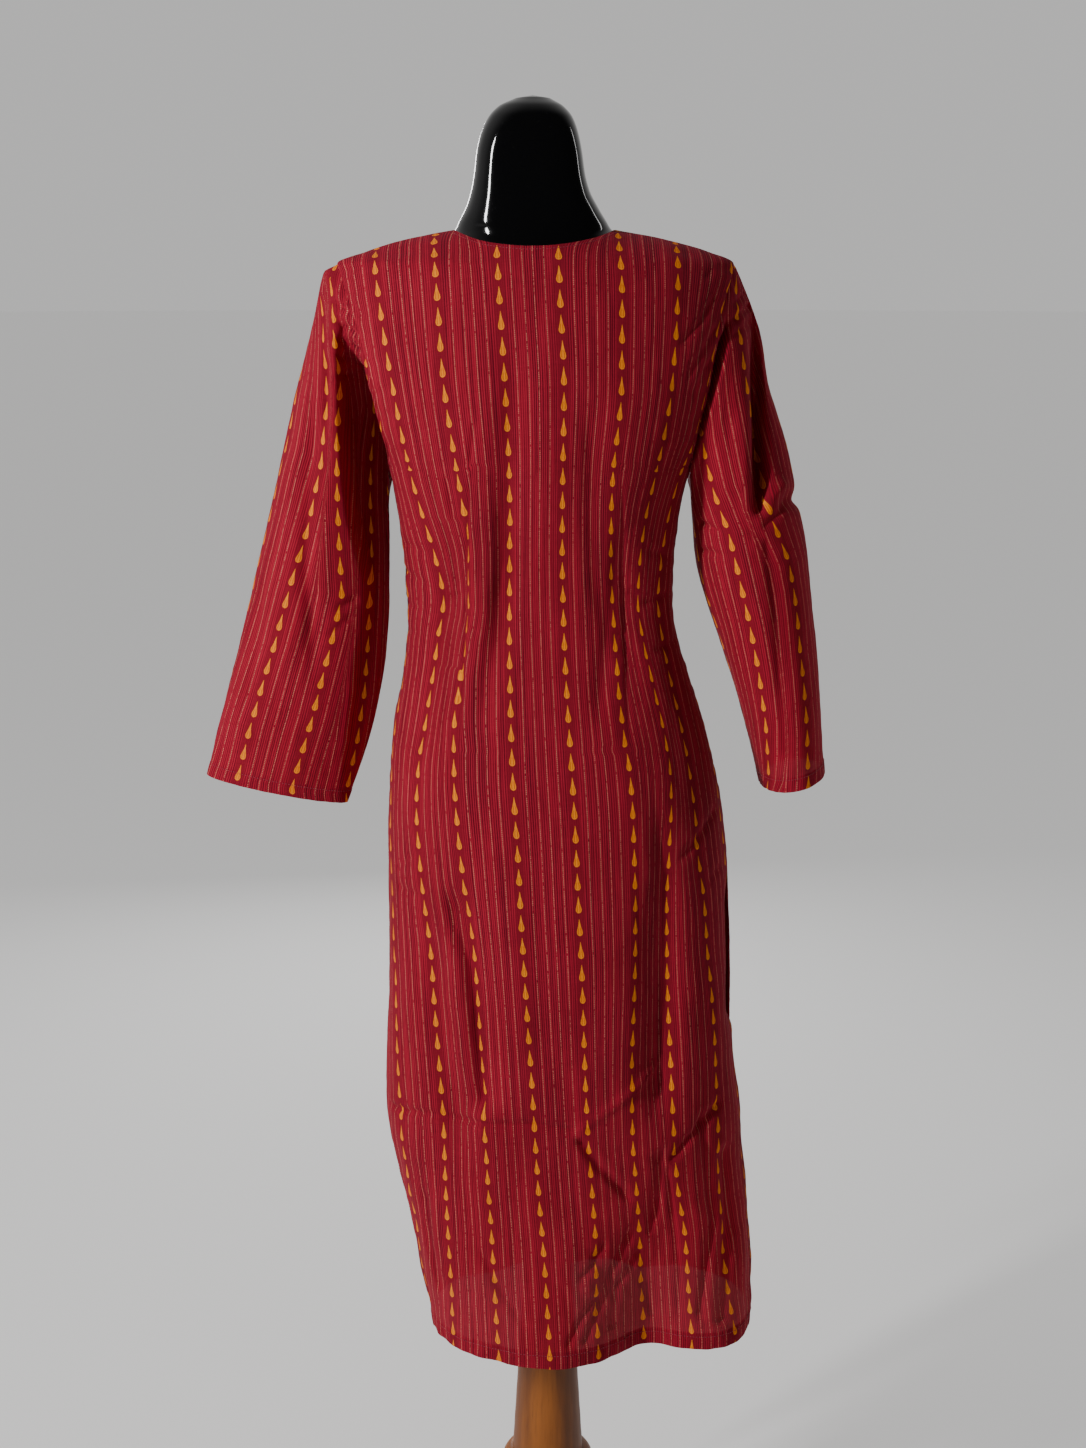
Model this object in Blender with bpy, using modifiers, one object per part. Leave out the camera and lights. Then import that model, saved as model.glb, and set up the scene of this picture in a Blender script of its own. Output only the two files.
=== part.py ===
# Women's kurta tunic on a limbless dress form with a turned wooden stand.
# Metres, +Z up. The garment's front faces -Y and the wearer's left is +X.
# The origin is on the floor, under the middle of the stand's column.
from collections import namedtuple

import bmesh
import bpy
import numpy as np

# Cloth and seams
WALL = 0.0014  # thickness of the cloth wall
SEAM_GAP = 0.0005  # clear gap between two sewn pieces
HEM_WALL = 0.0010  # thickness of a turned hem, inside the cloth
HEM_CLEAR = 0.0003  # gap between the cloth and its turned hem

# Heights of the garment
HEM_Z = 0.370
HEM_HEIGHT = 0.017
SLIT_TOP_Z = 0.895
UNDERARM_Z = 1.262
NECK_POINT_Z = 1.480
BACK_NECK_Z = 1.4655
FRONT_NECK_Z = 1.385
BACK_NECK_CURVE = 2.5
FRONT_NECK_CURVE = 2.3
CUFF_HEM_HEIGHT = 0.013

# Mesh counts
COLUMNS = 28
BACK_NECK_COLUMNS = 12
FRONT_NECK_COLUMNS = 16
SKIRT_ROWS = 10
BODICE_ROWS = 9
YOKE_ROWS = 12
YOKE_CROWDING = 1.6  # how much closer the yoke's rows lie towards the shoulder
CAP_RINGS = 6
SLEEVE_RINGS = 9
FORM_COLUMNS = 30
DENSE = 400  # points on a curve before it is divided evenly

# The garment's outer surface, level by level. left and right are the side lines, back and
# front the depths at the middle, and the rounds are superellipse exponents.
Section = namedtuple("Section", "z left right back front back_round front_round")
GARMENT = (
    Section(0.370, 0.120, -0.213, 0.118, 0.104, 2.5, 2.4),
    Section(0.432, 0.132, -0.213, 0.117, 0.104, 2.5, 2.4),
    Section(0.491, 0.142, -0.208, 0.117, 0.104, 2.5, 2.4),
    Section(0.562, 0.157, -0.200, 0.118, 0.104, 2.5, 2.4),
    Section(0.607, 0.165, -0.197, 0.119, 0.104, 2.5, 2.4),
    Section(0.677, 0.163, -0.187, 0.119, 0.104, 2.5, 2.4),
    Section(0.773, 0.159, -0.184, 0.120, 0.105, 2.4, 2.4),
    Section(0.882, 0.159, -0.177, 0.120, 0.107, 2.4, 2.4),
    Section(0.934, 0.157, -0.170, 0.116, 0.108, 2.4, 2.4),
    Section(1.008, 0.151, -0.153, 0.101, 0.102, 2.4, 2.4),
    Section(1.057, 0.1415, -0.137, 0.088, 0.094, 2.4, 2.4),
    Section(1.111, 0.1360, -0.122, 0.077, 0.088, 2.4, 2.4),
    Section(1.137, 0.1365, -0.120, 0.076, 0.090, 2.4, 2.4),
    Section(1.170, 0.1385, -0.121, 0.080, 0.101, 2.4, 2.5),
    Section(1.226, 0.1455, -0.127, 0.091, 0.124, 2.3, 2.6),
    Section(1.262, 0.1520, -0.136, 0.096, 0.127, 2.3, 2.6),
    Section(1.300, 0.1690, -0.153, 0.100, 0.119, 2.3, 2.4),
    Section(1.350, 0.1860, -0.170, 0.102, 0.106, 2.3, 2.3),
    Section(1.400, 0.1945, -0.178, 0.097, 0.092, 2.1, 2.1),
    Section(1.430, 0.1945, -0.178, 0.088, 0.081, 1.9, 1.9),
    Section(1.449, 0.1900, -0.174, 0.079, 0.071, 1.7, 1.7),
    Section(1.460, 0.1700, -0.150, 0.071, 0.064, 1.55, 1.55),
    Section(1.468, 0.1450, -0.122, 0.065, 0.058, 1.45, 1.45),
    Section(1.475, 0.1140, -0.090, 0.058, 0.052, 1.40, 1.40),
    Section(NECK_POINT_Z, 0.0880, -0.062, 0.052, 0.047, 1.40, 1.40),
)

# The armhole's distance from the middle of the body, from the underarm to the shoulder tip.
ArmholeMark = namedtuple("ArmholeMark", "z reach")
ARMHOLE = (
    ArmholeMark(1.262, 0.1440),
    ArmholeMark(1.276, 0.1425),
    ArmholeMark(1.300, 0.1480),
    ArmholeMark(1.350, 0.1630),
    ArmholeMark(1.400, 0.1765),
    ArmholeMark(1.430, 0.1815),
    ArmholeMark(1.449, 0.1820),
)

# Long soft folds of the panels: a line from (x_top, z_top) to (x_low, z_low). A positive depth
# is a trough and a negative one a ridge. Each end fades over its own length, 0 for none.
Fold = namedtuple("Fold", "x_top z_top x_low z_low width depth fade_top fade_low")
BACK_FOLDS = (
    Fold(0.126, 0.890, 0.078, 0.560, 0.020, 0.011, 0.12, 0.10),
    Fold(0.100, 0.860, 0.050, 0.480, 0.026, -0.005, 0.14, 0.16),
    Fold(-0.100, 0.930, -0.112, 0.600, 0.024, 0.010, 0.16, 0.10),
    Fold(-0.104, 0.620, -0.108, 0.370, 0.052, 0.044, 0.26, 0.00),
    Fold(-0.030, 0.560, 0.004, 0.370, 0.050, -0.004, 0.20, 0.00),
    Fold(0.044, 1.300, 0.040, 1.060, 0.012, 0.004, 0.10, 0.08),
    Fold(0.090, 1.230, 0.094, 0.990, 0.012, 0.004, 0.10, 0.10),
    Fold(-0.072, 1.230, -0.082, 0.990, 0.012, 0.004, 0.10, 0.10),
)
FRONT_FOLDS = (
    Fold(0.098, 1.180, 0.100, 0.980, 0.013, 0.004, 0.08, 0.10),
    Fold(-0.080, 1.180, -0.086, 0.980, 0.013, 0.004, 0.08, 0.10),
    Fold(0.070, 0.860, 0.062, 0.370, 0.024, 0.013, 0.30, 0.00),
    Fold(0.010, 0.700, -0.012, 0.370, 0.028, 0.011, 0.30, 0.00),
    Fold(-0.078, 0.900, -0.104, 0.370, 0.026, 0.016, 0.30, 0.00),
)

# Free rings of each sleeve below the underarm, from the biceps to the cuff. share is how far
# down the ring lies, 0 to 1.
Ring = namedtuple("Ring", "share out_x out_z in_x in_z y half_depth")
LEFT_SLEEVE = (
    Ring(0.00, 0.2620, 1.236, 0.1545, 1.214, 0.004, 0.056),
    Ring(0.20, 0.2760, 1.180, 0.1540, 1.160, 0.006, 0.053),
    Ring(0.48, 0.2970, 1.100, 0.1590, 1.076, 0.008, 0.046),
    Ring(0.76, 0.3190, 1.022, 0.1770, 0.994, 0.010, 0.036),
    Ring(1.00, 0.3360, 0.959, 0.1990, 0.931, 0.012, 0.024),
)
RIGHT_SLEEVE = (
    Ring(0.00, -0.2380, 1.236, -0.1400, 1.214, -0.002, 0.062),
    Ring(0.20, -0.2500, 1.180, -0.1450, 1.166, -0.004, 0.064),
    Ring(0.48, -0.2600, 1.100, -0.1700, 1.088, -0.006, 0.066),
    Ring(0.76, -0.2680, 1.022, -0.1950, 1.012, -0.006, 0.065),
    Ring(1.00, -0.2735, 0.960, -0.2125, 0.945, -0.006, 0.059),
)

# Long troughs of the hollow sleeves. turn runs round the sleeve: 0 outside, 0.25 back,
# 0.5 towards the body, 0.75 front. down runs from the armhole, 0, to the cuff, 1.
SleeveMark = namedtuple("SleeveMark", "down turn width depth")
LEFT_SLEEVE_TROUGH = (
    SleeveMark(0.02, 0.200, 0.070, 0.000),
    SleeveMark(0.18, 0.270, 0.080, 0.018),
    SleeveMark(0.36, 0.330, 0.070, 0.028),
    SleeveMark(0.55, 0.390, 0.055, 0.026),
    SleeveMark(0.78, 0.430, 0.045, 0.013),
    SleeveMark(0.97, 0.440, 0.045, 0.000),
)
RIGHT_SLEEVE_TROUGH = (
    SleeveMark(0.06, 0.090, 0.045, 0.000),
    SleeveMark(0.22, 0.140, 0.045, 0.018),
    SleeveMark(0.40, 0.195, 0.045, 0.024),
    SleeveMark(0.50, 0.200, 0.045, 0.014),
    SleeveMark(0.58, 0.200, 0.045, 0.000),
)
LEFT_FRONT_TROUGH = (
    SleeveMark(0.10, 0.700, 0.060, 0.000),
    SleeveMark(0.40, 0.660, 0.060, 0.014),
    SleeveMark(0.80, 0.640, 0.050, 0.000),
)
RIGHT_FRONT_TROUGH = (
    SleeveMark(0.10, 0.760, 0.060, 0.000),
    SleeveMark(0.42, 0.700, 0.060, 0.016),
    SleeveMark(0.85, 0.680, 0.060, 0.000),
)

# The dress form, level by level, as superellipses about a middle line.
FormSection = namedtuple("FormSection", "z middle half back front back_round front_round")
FORM = (
    FormSection(0.550, -0.004, 0.118, 0.084, 0.074, 2.4, 2.4),
    FormSection(0.556, -0.004, 0.126, 0.090, 0.080, 2.4, 2.4),
    FormSection(0.600, -0.004, 0.138, 0.096, 0.084, 2.4, 2.4),
    FormSection(0.700, -0.004, 0.149, 0.102, 0.088, 2.4, 2.4),
    FormSection(0.800, -0.004, 0.155, 0.107, 0.092, 2.4, 2.4),
    FormSection(0.880, -0.004, 0.157, 0.109, 0.096, 2.4, 2.4),
    FormSection(0.934, -0.003, 0.153, 0.106, 0.098, 2.4, 2.4),
    FormSection(1.008, 0.000, 0.142, 0.092, 0.092, 2.4, 2.4),
    FormSection(1.057, 0.003, 0.131, 0.079, 0.084, 2.4, 2.4),
    FormSection(1.111, 0.007, 0.121, 0.069, 0.079, 2.4, 2.4),
    FormSection(1.137, 0.008, 0.120, 0.068, 0.081, 2.4, 2.4),
    FormSection(1.170, 0.008, 0.122, 0.072, 0.091, 2.4, 2.5),
    FormSection(1.226, 0.009, 0.128, 0.083, 0.114, 2.3, 2.6),
    FormSection(1.262, 0.008, 0.134, 0.089, 0.119, 2.3, 2.6),
    FormSection(1.300, 0.008, 0.142, 0.094, 0.113, 2.3, 2.4),
    FormSection(1.350, 0.008, 0.153, 0.097, 0.102, 2.3, 2.3),
    FormSection(1.400, 0.008, 0.166, 0.092, 0.087, 2.1, 2.1),
    FormSection(1.430, 0.008, 0.174, 0.083, 0.076, 1.9, 1.9),
    FormSection(1.4465, 0.008, 0.176, 0.075, 0.067, 1.7, 1.7),
    FormSection(1.4575, 0.010, 0.158, 0.068, 0.060, 1.55, 1.55),
    FormSection(1.4655, 0.0115, 0.128, 0.0600, 0.055, 1.45, 1.45),
    FormSection(1.4725, 0.012, 0.092, 0.0535, 0.050, 1.45, 1.45),
    FormSection(1.4780, 0.013, 0.0690, 0.0495, 0.0485, 1.70, 1.70),
    FormSection(1.4885, 0.013, 0.0630, 0.0480, 0.0485, 2.30, 2.10),
    FormSection(1.500, 0.0135, 0.0580, 0.0475, 0.049, 2.70, 2.20),
    FormSection(1.515, 0.0140, 0.0530, 0.0460, 0.048, 2.80, 2.30),
    FormSection(1.530, 0.0145, 0.0495, 0.0450, 0.047, 2.80, 2.30),
    FormSection(1.550, 0.0145, 0.0468, 0.0440, 0.046, 2.80, 2.30),
    FormSection(1.566, 0.0145, 0.0440, 0.0420, 0.044, 2.70, 2.30),
    FormSection(1.5806, 0.0145, 0.0375, 0.0360, 0.038, 2.50, 2.30),
    FormSection(1.591, 0.0145, 0.0278, 0.0270, 0.028, 2.30, 2.20),
    FormSection(1.598, 0.0145, 0.0165, 0.0155, 0.016, 2.10, 2.10),
)
FORM_TOP_Z = 1.601

# Stand: heights of its pieces, clear of each other by STAND_CLEAR, and their radii.
STAND_CLEAR = 0.0003
TURN_STEPS = 32
FLANGE_RADIUS = 0.048
FLANGE_HEIGHT = 0.012
COLUMN_LOW_Z = 0.2053
COLLAR_LOW_Z = 0.1603
BASE_RADIUS = 0.172
BASE_RIM = 0.022
Turning = namedtuple("Turning", "radius z")
COLUMN_SHAPE = (
    Turning(0.0215, 0.5370),
    Turning(0.0225, 0.4900),
    Turning(0.0245, 0.4300),
    Turning(0.0280, 0.3600),
    Turning(0.0318, 0.3000),
    Turning(0.0345, 0.2550),
    Turning(0.0375, COLUMN_LOW_Z),
)
COLLAR_SHAPE = (
    Turning(0.0400, 0.2050),
    Turning(0.0440, 0.2020),
    Turning(0.0480, 0.1950),
    Turning(0.0490, 0.1870),
    Turning(0.0470, 0.1790),
    Turning(0.0420, 0.1720),
    Turning(0.0400, 0.1680),
    Turning(0.0400, COLLAR_LOW_Z),
)
BASE_SHAPE = (
    Turning(0.0400, 0.1600),
    Turning(0.0390, 0.1400),
    Turning(0.0420, 0.1150),
    Turning(0.0500, 0.0880),
    Turning(0.0640, 0.0660),
    Turning(0.0860, 0.0520),
    Turning(0.1200, 0.0430),
    Turning(0.1540, 0.0370),
    Turning(0.1660, 0.0310),
    Turning(BASE_RADIUS, BASE_RIM),
    Turning(BASE_RADIUS, 0.0040),
    Turning(BASE_RADIUS - 0.004, 0.0000),
)

PRINTED_COTTON = ("printed_cotton", (0.31, 0.008, 0.022), 0.85)
GLOSS_BLACK = ("gloss_black", (0.006, 0.006, 0.006), 0.08)
TURNED_WOOD = ("turned_wood", (0.30, 0.14, 0.035), 0.45)


def eased(at, table, column):
    """A column of a table at height or share at, as a curve through the rows that never overshoots."""
    knots = np.array([row[0] for row in table])
    values = np.array([getattr(row, column) for row in table])
    step = np.diff(knots)
    rise = np.diff(values) / step
    slope = np.zeros(len(knots))
    slope[0], slope[-1] = rise[0], rise[-1]
    same_way = rise[:-1] * rise[1:] > 0
    both = np.where(same_way, rise[:-1] + rise[1:], 1.0)
    slope[1:-1] = np.where(same_way, 2 * rise[:-1] * rise[1:] / both, 0.0)
    at = np.clip(at, knots[0], knots[-1])
    i = np.clip(np.searchsorted(knots, at) - 1, 0, len(step) - 1)
    t = (at - knots[i]) / step[i]
    start = values[i] * (1 + 2 * t) * (1 - t) ** 2 + slope[i] * step[i] * t * (1 - t) ** 2
    end = values[i + 1] * t * t * (3 - 2 * t) - slope[i + 1] * step[i] * t * t * (1 - t)
    return start + end


def smooth(t):
    t = np.clip(t, 0.0, 1.0)
    return t * t * (3 - 2 * t)


def unit(vectors):
    return vectors / np.maximum(np.linalg.norm(vectors, axis=-1, keepdims=True), 1e-12)


def middle(z):
    return (eased(z, GARMENT, "left") + eased(z, GARMENT, "right")) / 2


def half_width(z):
    return (eased(z, GARMENT, "left") - eased(z, GARMENT, "right")) / 2


def surface_y(x, z, side):
    """How far the garment's surface lies from the side line's plane. side is 1 at the back, -1 at the front."""
    name = "back" if side > 0 else "front"
    power = eased(z, GARMENT, name + "_round")
    share = np.clip(np.abs(x - middle(z)) / half_width(z), 0.0, 1.0)
    return side * eased(z, GARMENT, name) * (1 - share**power) ** (1 / power)


def even_points(curve, count):
    """count + 1 points evenly spaced along a dense curve."""
    length = np.concatenate([[0.0], np.cumsum(np.linalg.norm(np.diff(curve, axis=0), axis=1))])
    at = np.linspace(0.0, length[-1], count + 1)
    return np.stack([np.interp(at, length, curve[:, k]) for k in range(3)], axis=1)


def fold_push(x, z, folds):
    """How far the cloth is pushed in at x and z by the long folds."""
    push = np.zeros_like(x)
    for fold in folds:
        down = (fold.z_top - z) / (fold.z_top - fold.z_low)
        line = fold.x_top + (fold.x_low - fold.x_top) * np.clip(down, 0.0, 1.0)
        fade = 1.0
        if fold.fade_top:
            fade = fade * smooth((fold.z_top - z) / fold.fade_top)
        if fold.fade_low:
            fade = fade * smooth((z - fold.z_low) / fold.fade_low)
        push = push + fold.depth * fade * np.exp(-(((x - line) / fold.width) ** 2))
    return push


def slit_opening(z):
    """Half the width of the side slit at height z."""
    return 0.026 * np.clip((SLIT_TOP_Z - z) / (SLIT_TOP_Z - HEM_Z), 0.0, 1.0) ** 1.2


def skirt_row(z, side):
    """One level row of a panel below the underarm, from the right side line to the left."""
    folds = BACK_FOLDS if side > 0 else FRONT_FOLDS
    angle = np.linspace(np.pi, 0.0, DENSE)
    name = "back" if side > 0 else "front"
    power = 2 / eased(z, GARMENT, name + "_round")
    x = middle(z) + half_width(z) * np.sign(np.cos(angle)) * np.abs(np.cos(angle)) ** power
    y = side * eased(z, GARMENT, name) * np.abs(np.sin(angle)) ** power
    keep = np.abs(y) >= slit_opening(z)
    x, y = x[keep], y[keep]
    along = unit(np.stack([np.gradient(x), np.gradient(y)], axis=1))
    outward = np.stack([-along[:, 1], along[:, 0]], axis=1) * side
    push = fold_push(x, z, folds) * np.minimum(np.abs(y) / 0.03, 1.0)
    x, y = x - outward[:, 0] * push, y - outward[:, 1] * push
    return even_points(np.stack([x, y, np.full_like(x, z)], axis=1), COLUMNS)


def ridge_z(x):
    """Height of the shoulder line at x."""
    z = np.linspace(GARMENT[-5].z, NECK_POINT_Z, DENSE)
    left = eased(z, GARMENT, "left")
    right = eased(z, GARMENT, "right")
    return np.where(
        x > middle(NECK_POINT_Z),
        np.interp(x, left[::-1], z[::-1]),
        np.interp(x, right, z),
    )


def top_z(x, side):
    """Height of a panel's top edge at x: the shoulder seam, and the neckline between the neck points."""
    low = BACK_NECK_Z if side > 0 else FRONT_NECK_Z
    curve = BACK_NECK_CURVE if side > 0 else FRONT_NECK_CURVE
    share = np.abs(x - middle(NECK_POINT_Z)) / half_width(NECK_POINT_Z)
    neck = low + (NECK_POINT_Z - low) * np.minimum(share, 1.0) ** curve
    return np.where(share < 1.0, neck, ridge_z(x))


def yoke_row(up, side):
    """One row between the underarm level, up 0, and the shoulder seams and neckline, up 1."""
    tip_z = GARMENT[-5].z
    edge_z = UNDERARM_Z + (tip_z - UNDERARM_Z) * up
    reach = eased(edge_z, ARMHOLE, "reach")
    x = middle(edge_z) + reach * np.cos(np.linspace(np.pi, 0.0, DENSE))
    z = UNDERARM_Z + (top_z(x, side) - UNDERARM_Z) * up
    y = surface_y(x, z, side)
    push = fold_push(x, z, BACK_FOLDS if side > 0 else FRONT_FOLDS)
    row = np.stack([x, y - side * push * (1 - up), z], axis=1)
    neck_columns = BACK_NECK_COLUMNS if side > 0 else FRONT_NECK_COLUMNS
    shoulder_columns = (COLUMNS - neck_columns) // 2
    # The neck points fall on the same columns in every row, eased towards an even spacing below.
    length = np.concatenate([[0.0], np.cumsum(np.linalg.norm(np.diff(row, axis=0), axis=1))])
    share = length / length[-1]
    neck_left = middle(NECK_POINT_Z) + half_width(NECK_POINT_Z)
    neck_right = middle(NECK_POINT_Z) - half_width(NECK_POINT_Z)
    even = shoulder_columns / COLUMNS
    blend = up**1.5
    right_break = (1 - blend) * even + blend * np.interp(neck_right, x, share)
    left_break = (1 - blend) * (1 - even) + blend * np.interp(neck_left, x, share)
    at = np.concatenate(
        [
            np.linspace(0.0, right_break, shoulder_columns + 1)[:-1],
            np.linspace(right_break, left_break, neck_columns + 1),
            np.linspace(left_break, 1.0, shoulder_columns + 1)[1:],
        ]
    )
    return np.stack([np.interp(at, share, row[:, k]) for k in range(3)], axis=1)


def panel_levels():
    """Heights of the level rows: the hem, the top of its turning, the slit's top and the underarm."""
    skirt = np.linspace(HEM_Z + HEM_HEIGHT, SLIT_TOP_Z, SKIRT_ROWS)
    bodice = np.linspace(SLIT_TOP_Z, UNDERARM_Z, BODICE_ROWS + 1)[1:]
    return np.concatenate([[HEM_Z], skirt, bodice])


def panel_surface(side):
    """The outer points of the back (side 1) or the front (side -1), row by row from the hem up."""
    rows = [skirt_row(z, side) for z in panel_levels()]
    rise = 1 - (1 - np.linspace(0.0, 1.0, YOKE_ROWS + 1)[1:]) ** YOKE_CROWDING
    rows += [yoke_row(up, side) for up in rise]
    return np.array(rows)


def grid_normals(points, closed):
    """Unit normals of a grid of points. The columns wrap round where it is closed."""
    if closed:
        across = np.roll(points, -1, axis=1) - np.roll(points, 1, axis=1)
    else:
        across = np.gradient(points, axis=1)
    return unit(np.cross(across, np.gradient(points, axis=0)))


def outward_normals(points, closed, centres):
    normals = grid_normals(points, closed)
    facing = ((points - centres) * normals).sum()
    return normals if facing > 0 else -normals


def body_axis(points):
    """The point on the body's middle line that is level with each point."""
    level = points[..., 2]
    return np.stack([middle(level), np.zeros_like(level), level], axis=-1)


def sleeve_loop(panels, sign):
    """The armhole as a loop of points: the tip, down the back edge, the underarm, up the front edge."""
    column = -1 if sign > 0 else 0
    first = len(panel_levels()) - 1
    back = panels[1][first:, column][::-1]
    front = panels[-1][first:, column]
    return np.concatenate([back, front[1:-1]])


def free_ring(share, table, turns):
    """A ring of the sleeve below the cap."""
    out = np.array([eased(share, table, "out_x"), 0.0, eased(share, table, "out_z")])
    inn = np.array([eased(share, table, "in_x"), 0.0, eased(share, table, "in_z")])
    angle = 2 * np.pi * turns[:, None]
    centre = (out + inn) / 2 + np.array([0.0, eased(share, table, "y"), 0.0])
    depth = eased(share, table, "half_depth")
    sideways = (out - inn) / 2 * np.cos(angle)
    return centre + sideways + np.array([0.0, depth, 0.0]) * np.sin(angle)


def sleeve_surface(loop, table, troughs, sign):
    """Outer points of a sleeve: rings from the armhole to the cuff."""
    turns = np.arange(len(loop)) / len(loop)
    biceps = free_ring(0.0, table, turns)
    below = free_ring(0.04, table, turns)
    fall = smooth((loop[0, 2] - loop[:, 2]) / (loop[0, 2] - UNDERARM_Z))[:, None]
    leave = unit((1 - fall) * np.array([0.42 * sign, 0.0, -0.91]) + fall * np.array([0.07 * sign, 0.0, -1.0]))
    reach = np.linalg.norm(biceps - loop, axis=1)[:, None] * 0.36
    first, second = loop + leave * reach, biceps - unit(below - biceps) * reach
    rings = []
    for t in np.linspace(0.0, 1.0, CAP_RINGS + 1)[:-1]:
        rings.append(
            loop * (1 - t) ** 3 + first * 3 * t * (1 - t) ** 2 + second * 3 * t * t * (1 - t) + biceps * t**3
        )
    length = np.linalg.norm(free_ring(1.0, table, turns) - biceps, axis=1).mean()
    shares = np.append(np.linspace(0.0, 1 - CUFF_HEM_HEIGHT / length, SLEEVE_RINGS), 1.0)
    rings += [free_ring(share, table, turns) for share in shares]
    points = np.array(rings)
    normals = outward_normals(points, True, points.mean(axis=1, keepdims=True))
    down = np.linspace(0.0, 1.0, len(points))[:, None]
    for trough in troughs:
        away = np.abs(turns[None, :] - eased(down, trough, "turn"))
        away = np.minimum(away, 1 - away) / eased(down, trough, "width")
        points = points - normals * (eased(down, trough, "depth") * np.exp(-(away**2)))[..., None]
    return points


def mitre(first, second):
    """The direction of a seam's thickness between two walls, as long as keeps both walls whole."""
    shared = unit(first + second)
    lean = np.maximum((shared * first).sum(axis=-1, keepdims=True), 0.6)
    return shared / lean


def wall_object(name, outer, inner, closed, material):
    """A closed solid between an outer and an inner grid of points."""
    rows, columns = outer.shape[:2]
    points = np.concatenate([outer.reshape(-1, 3), inner.reshape(-1, 3)])
    inside = rows * columns
    faces = []
    for r in range(rows - 1):
        for c in range(columns if closed else columns - 1):
            d = (c + 1) % columns
            low, high = (r * columns + c, r * columns + d), ((r + 1) * columns + c, (r + 1) * columns + d)
            # Both walls are split along the same diagonal, so that they stay as far apart as meant.
            for corners in ((low[0], low[1], high[1]), (low[0], high[1], high[0])):
                faces += [corners, tuple(inside + k for k in reversed(corners))]
    for r in (0, rows - 1):
        for c in range(columns if closed else columns - 1):
            a, b = r * columns + c, r * columns + (c + 1) % columns
            faces.append((a, b, inside + b, inside + a) if r else (b, a, inside + a, inside + b))
    if not closed:
        for c in (0, columns - 1):
            for r in range(rows - 1):
                a, b = r * columns + c, (r + 1) * columns + c
                faces.append((b, a, inside + a, inside + b) if c else (a, b, inside + b, inside + a))
    return mesh_object(name, points, faces, material)


def mesh_object(name, points, faces, material):
    mesh = bpy.data.meshes.new(name)
    mesh.from_pydata([tuple(p) for p in points], [], faces)
    shape = bmesh.new()
    shape.from_mesh(mesh)
    bmesh.ops.recalc_face_normals(shape, faces=shape.faces)
    shape.to_mesh(mesh)
    shape.free()
    mesh.shade_smooth()
    mesh.materials.append(material)
    made = bpy.data.objects.new(name, mesh)
    garment_collection().objects.link(made)
    return made


def garment_collection():
    name = "kurta_on_dress_form"
    found = bpy.data.collections.get(name)
    if found is None:
        found = bpy.data.collections.new(name)
        bpy.context.scene.collection.children.link(found)
    return found


def material(finish):
    name, colour, roughness = finish
    made = bpy.data.materials.new(name)
    made.use_nodes = True
    shader = made.node_tree.nodes["Principled BSDF"]
    shader.inputs["Base Color"].default_value = (*colour, 1.0)
    shader.inputs["Roughness"].default_value = roughness
    shader.inputs["Metallic"].default_value = 0.0
    return made


def flat_in_y(normals):
    """Normals turned into the plane of a side or shoulder seam."""
    return unit(normals * np.array([1.0, 0.0, 1.0]))


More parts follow.
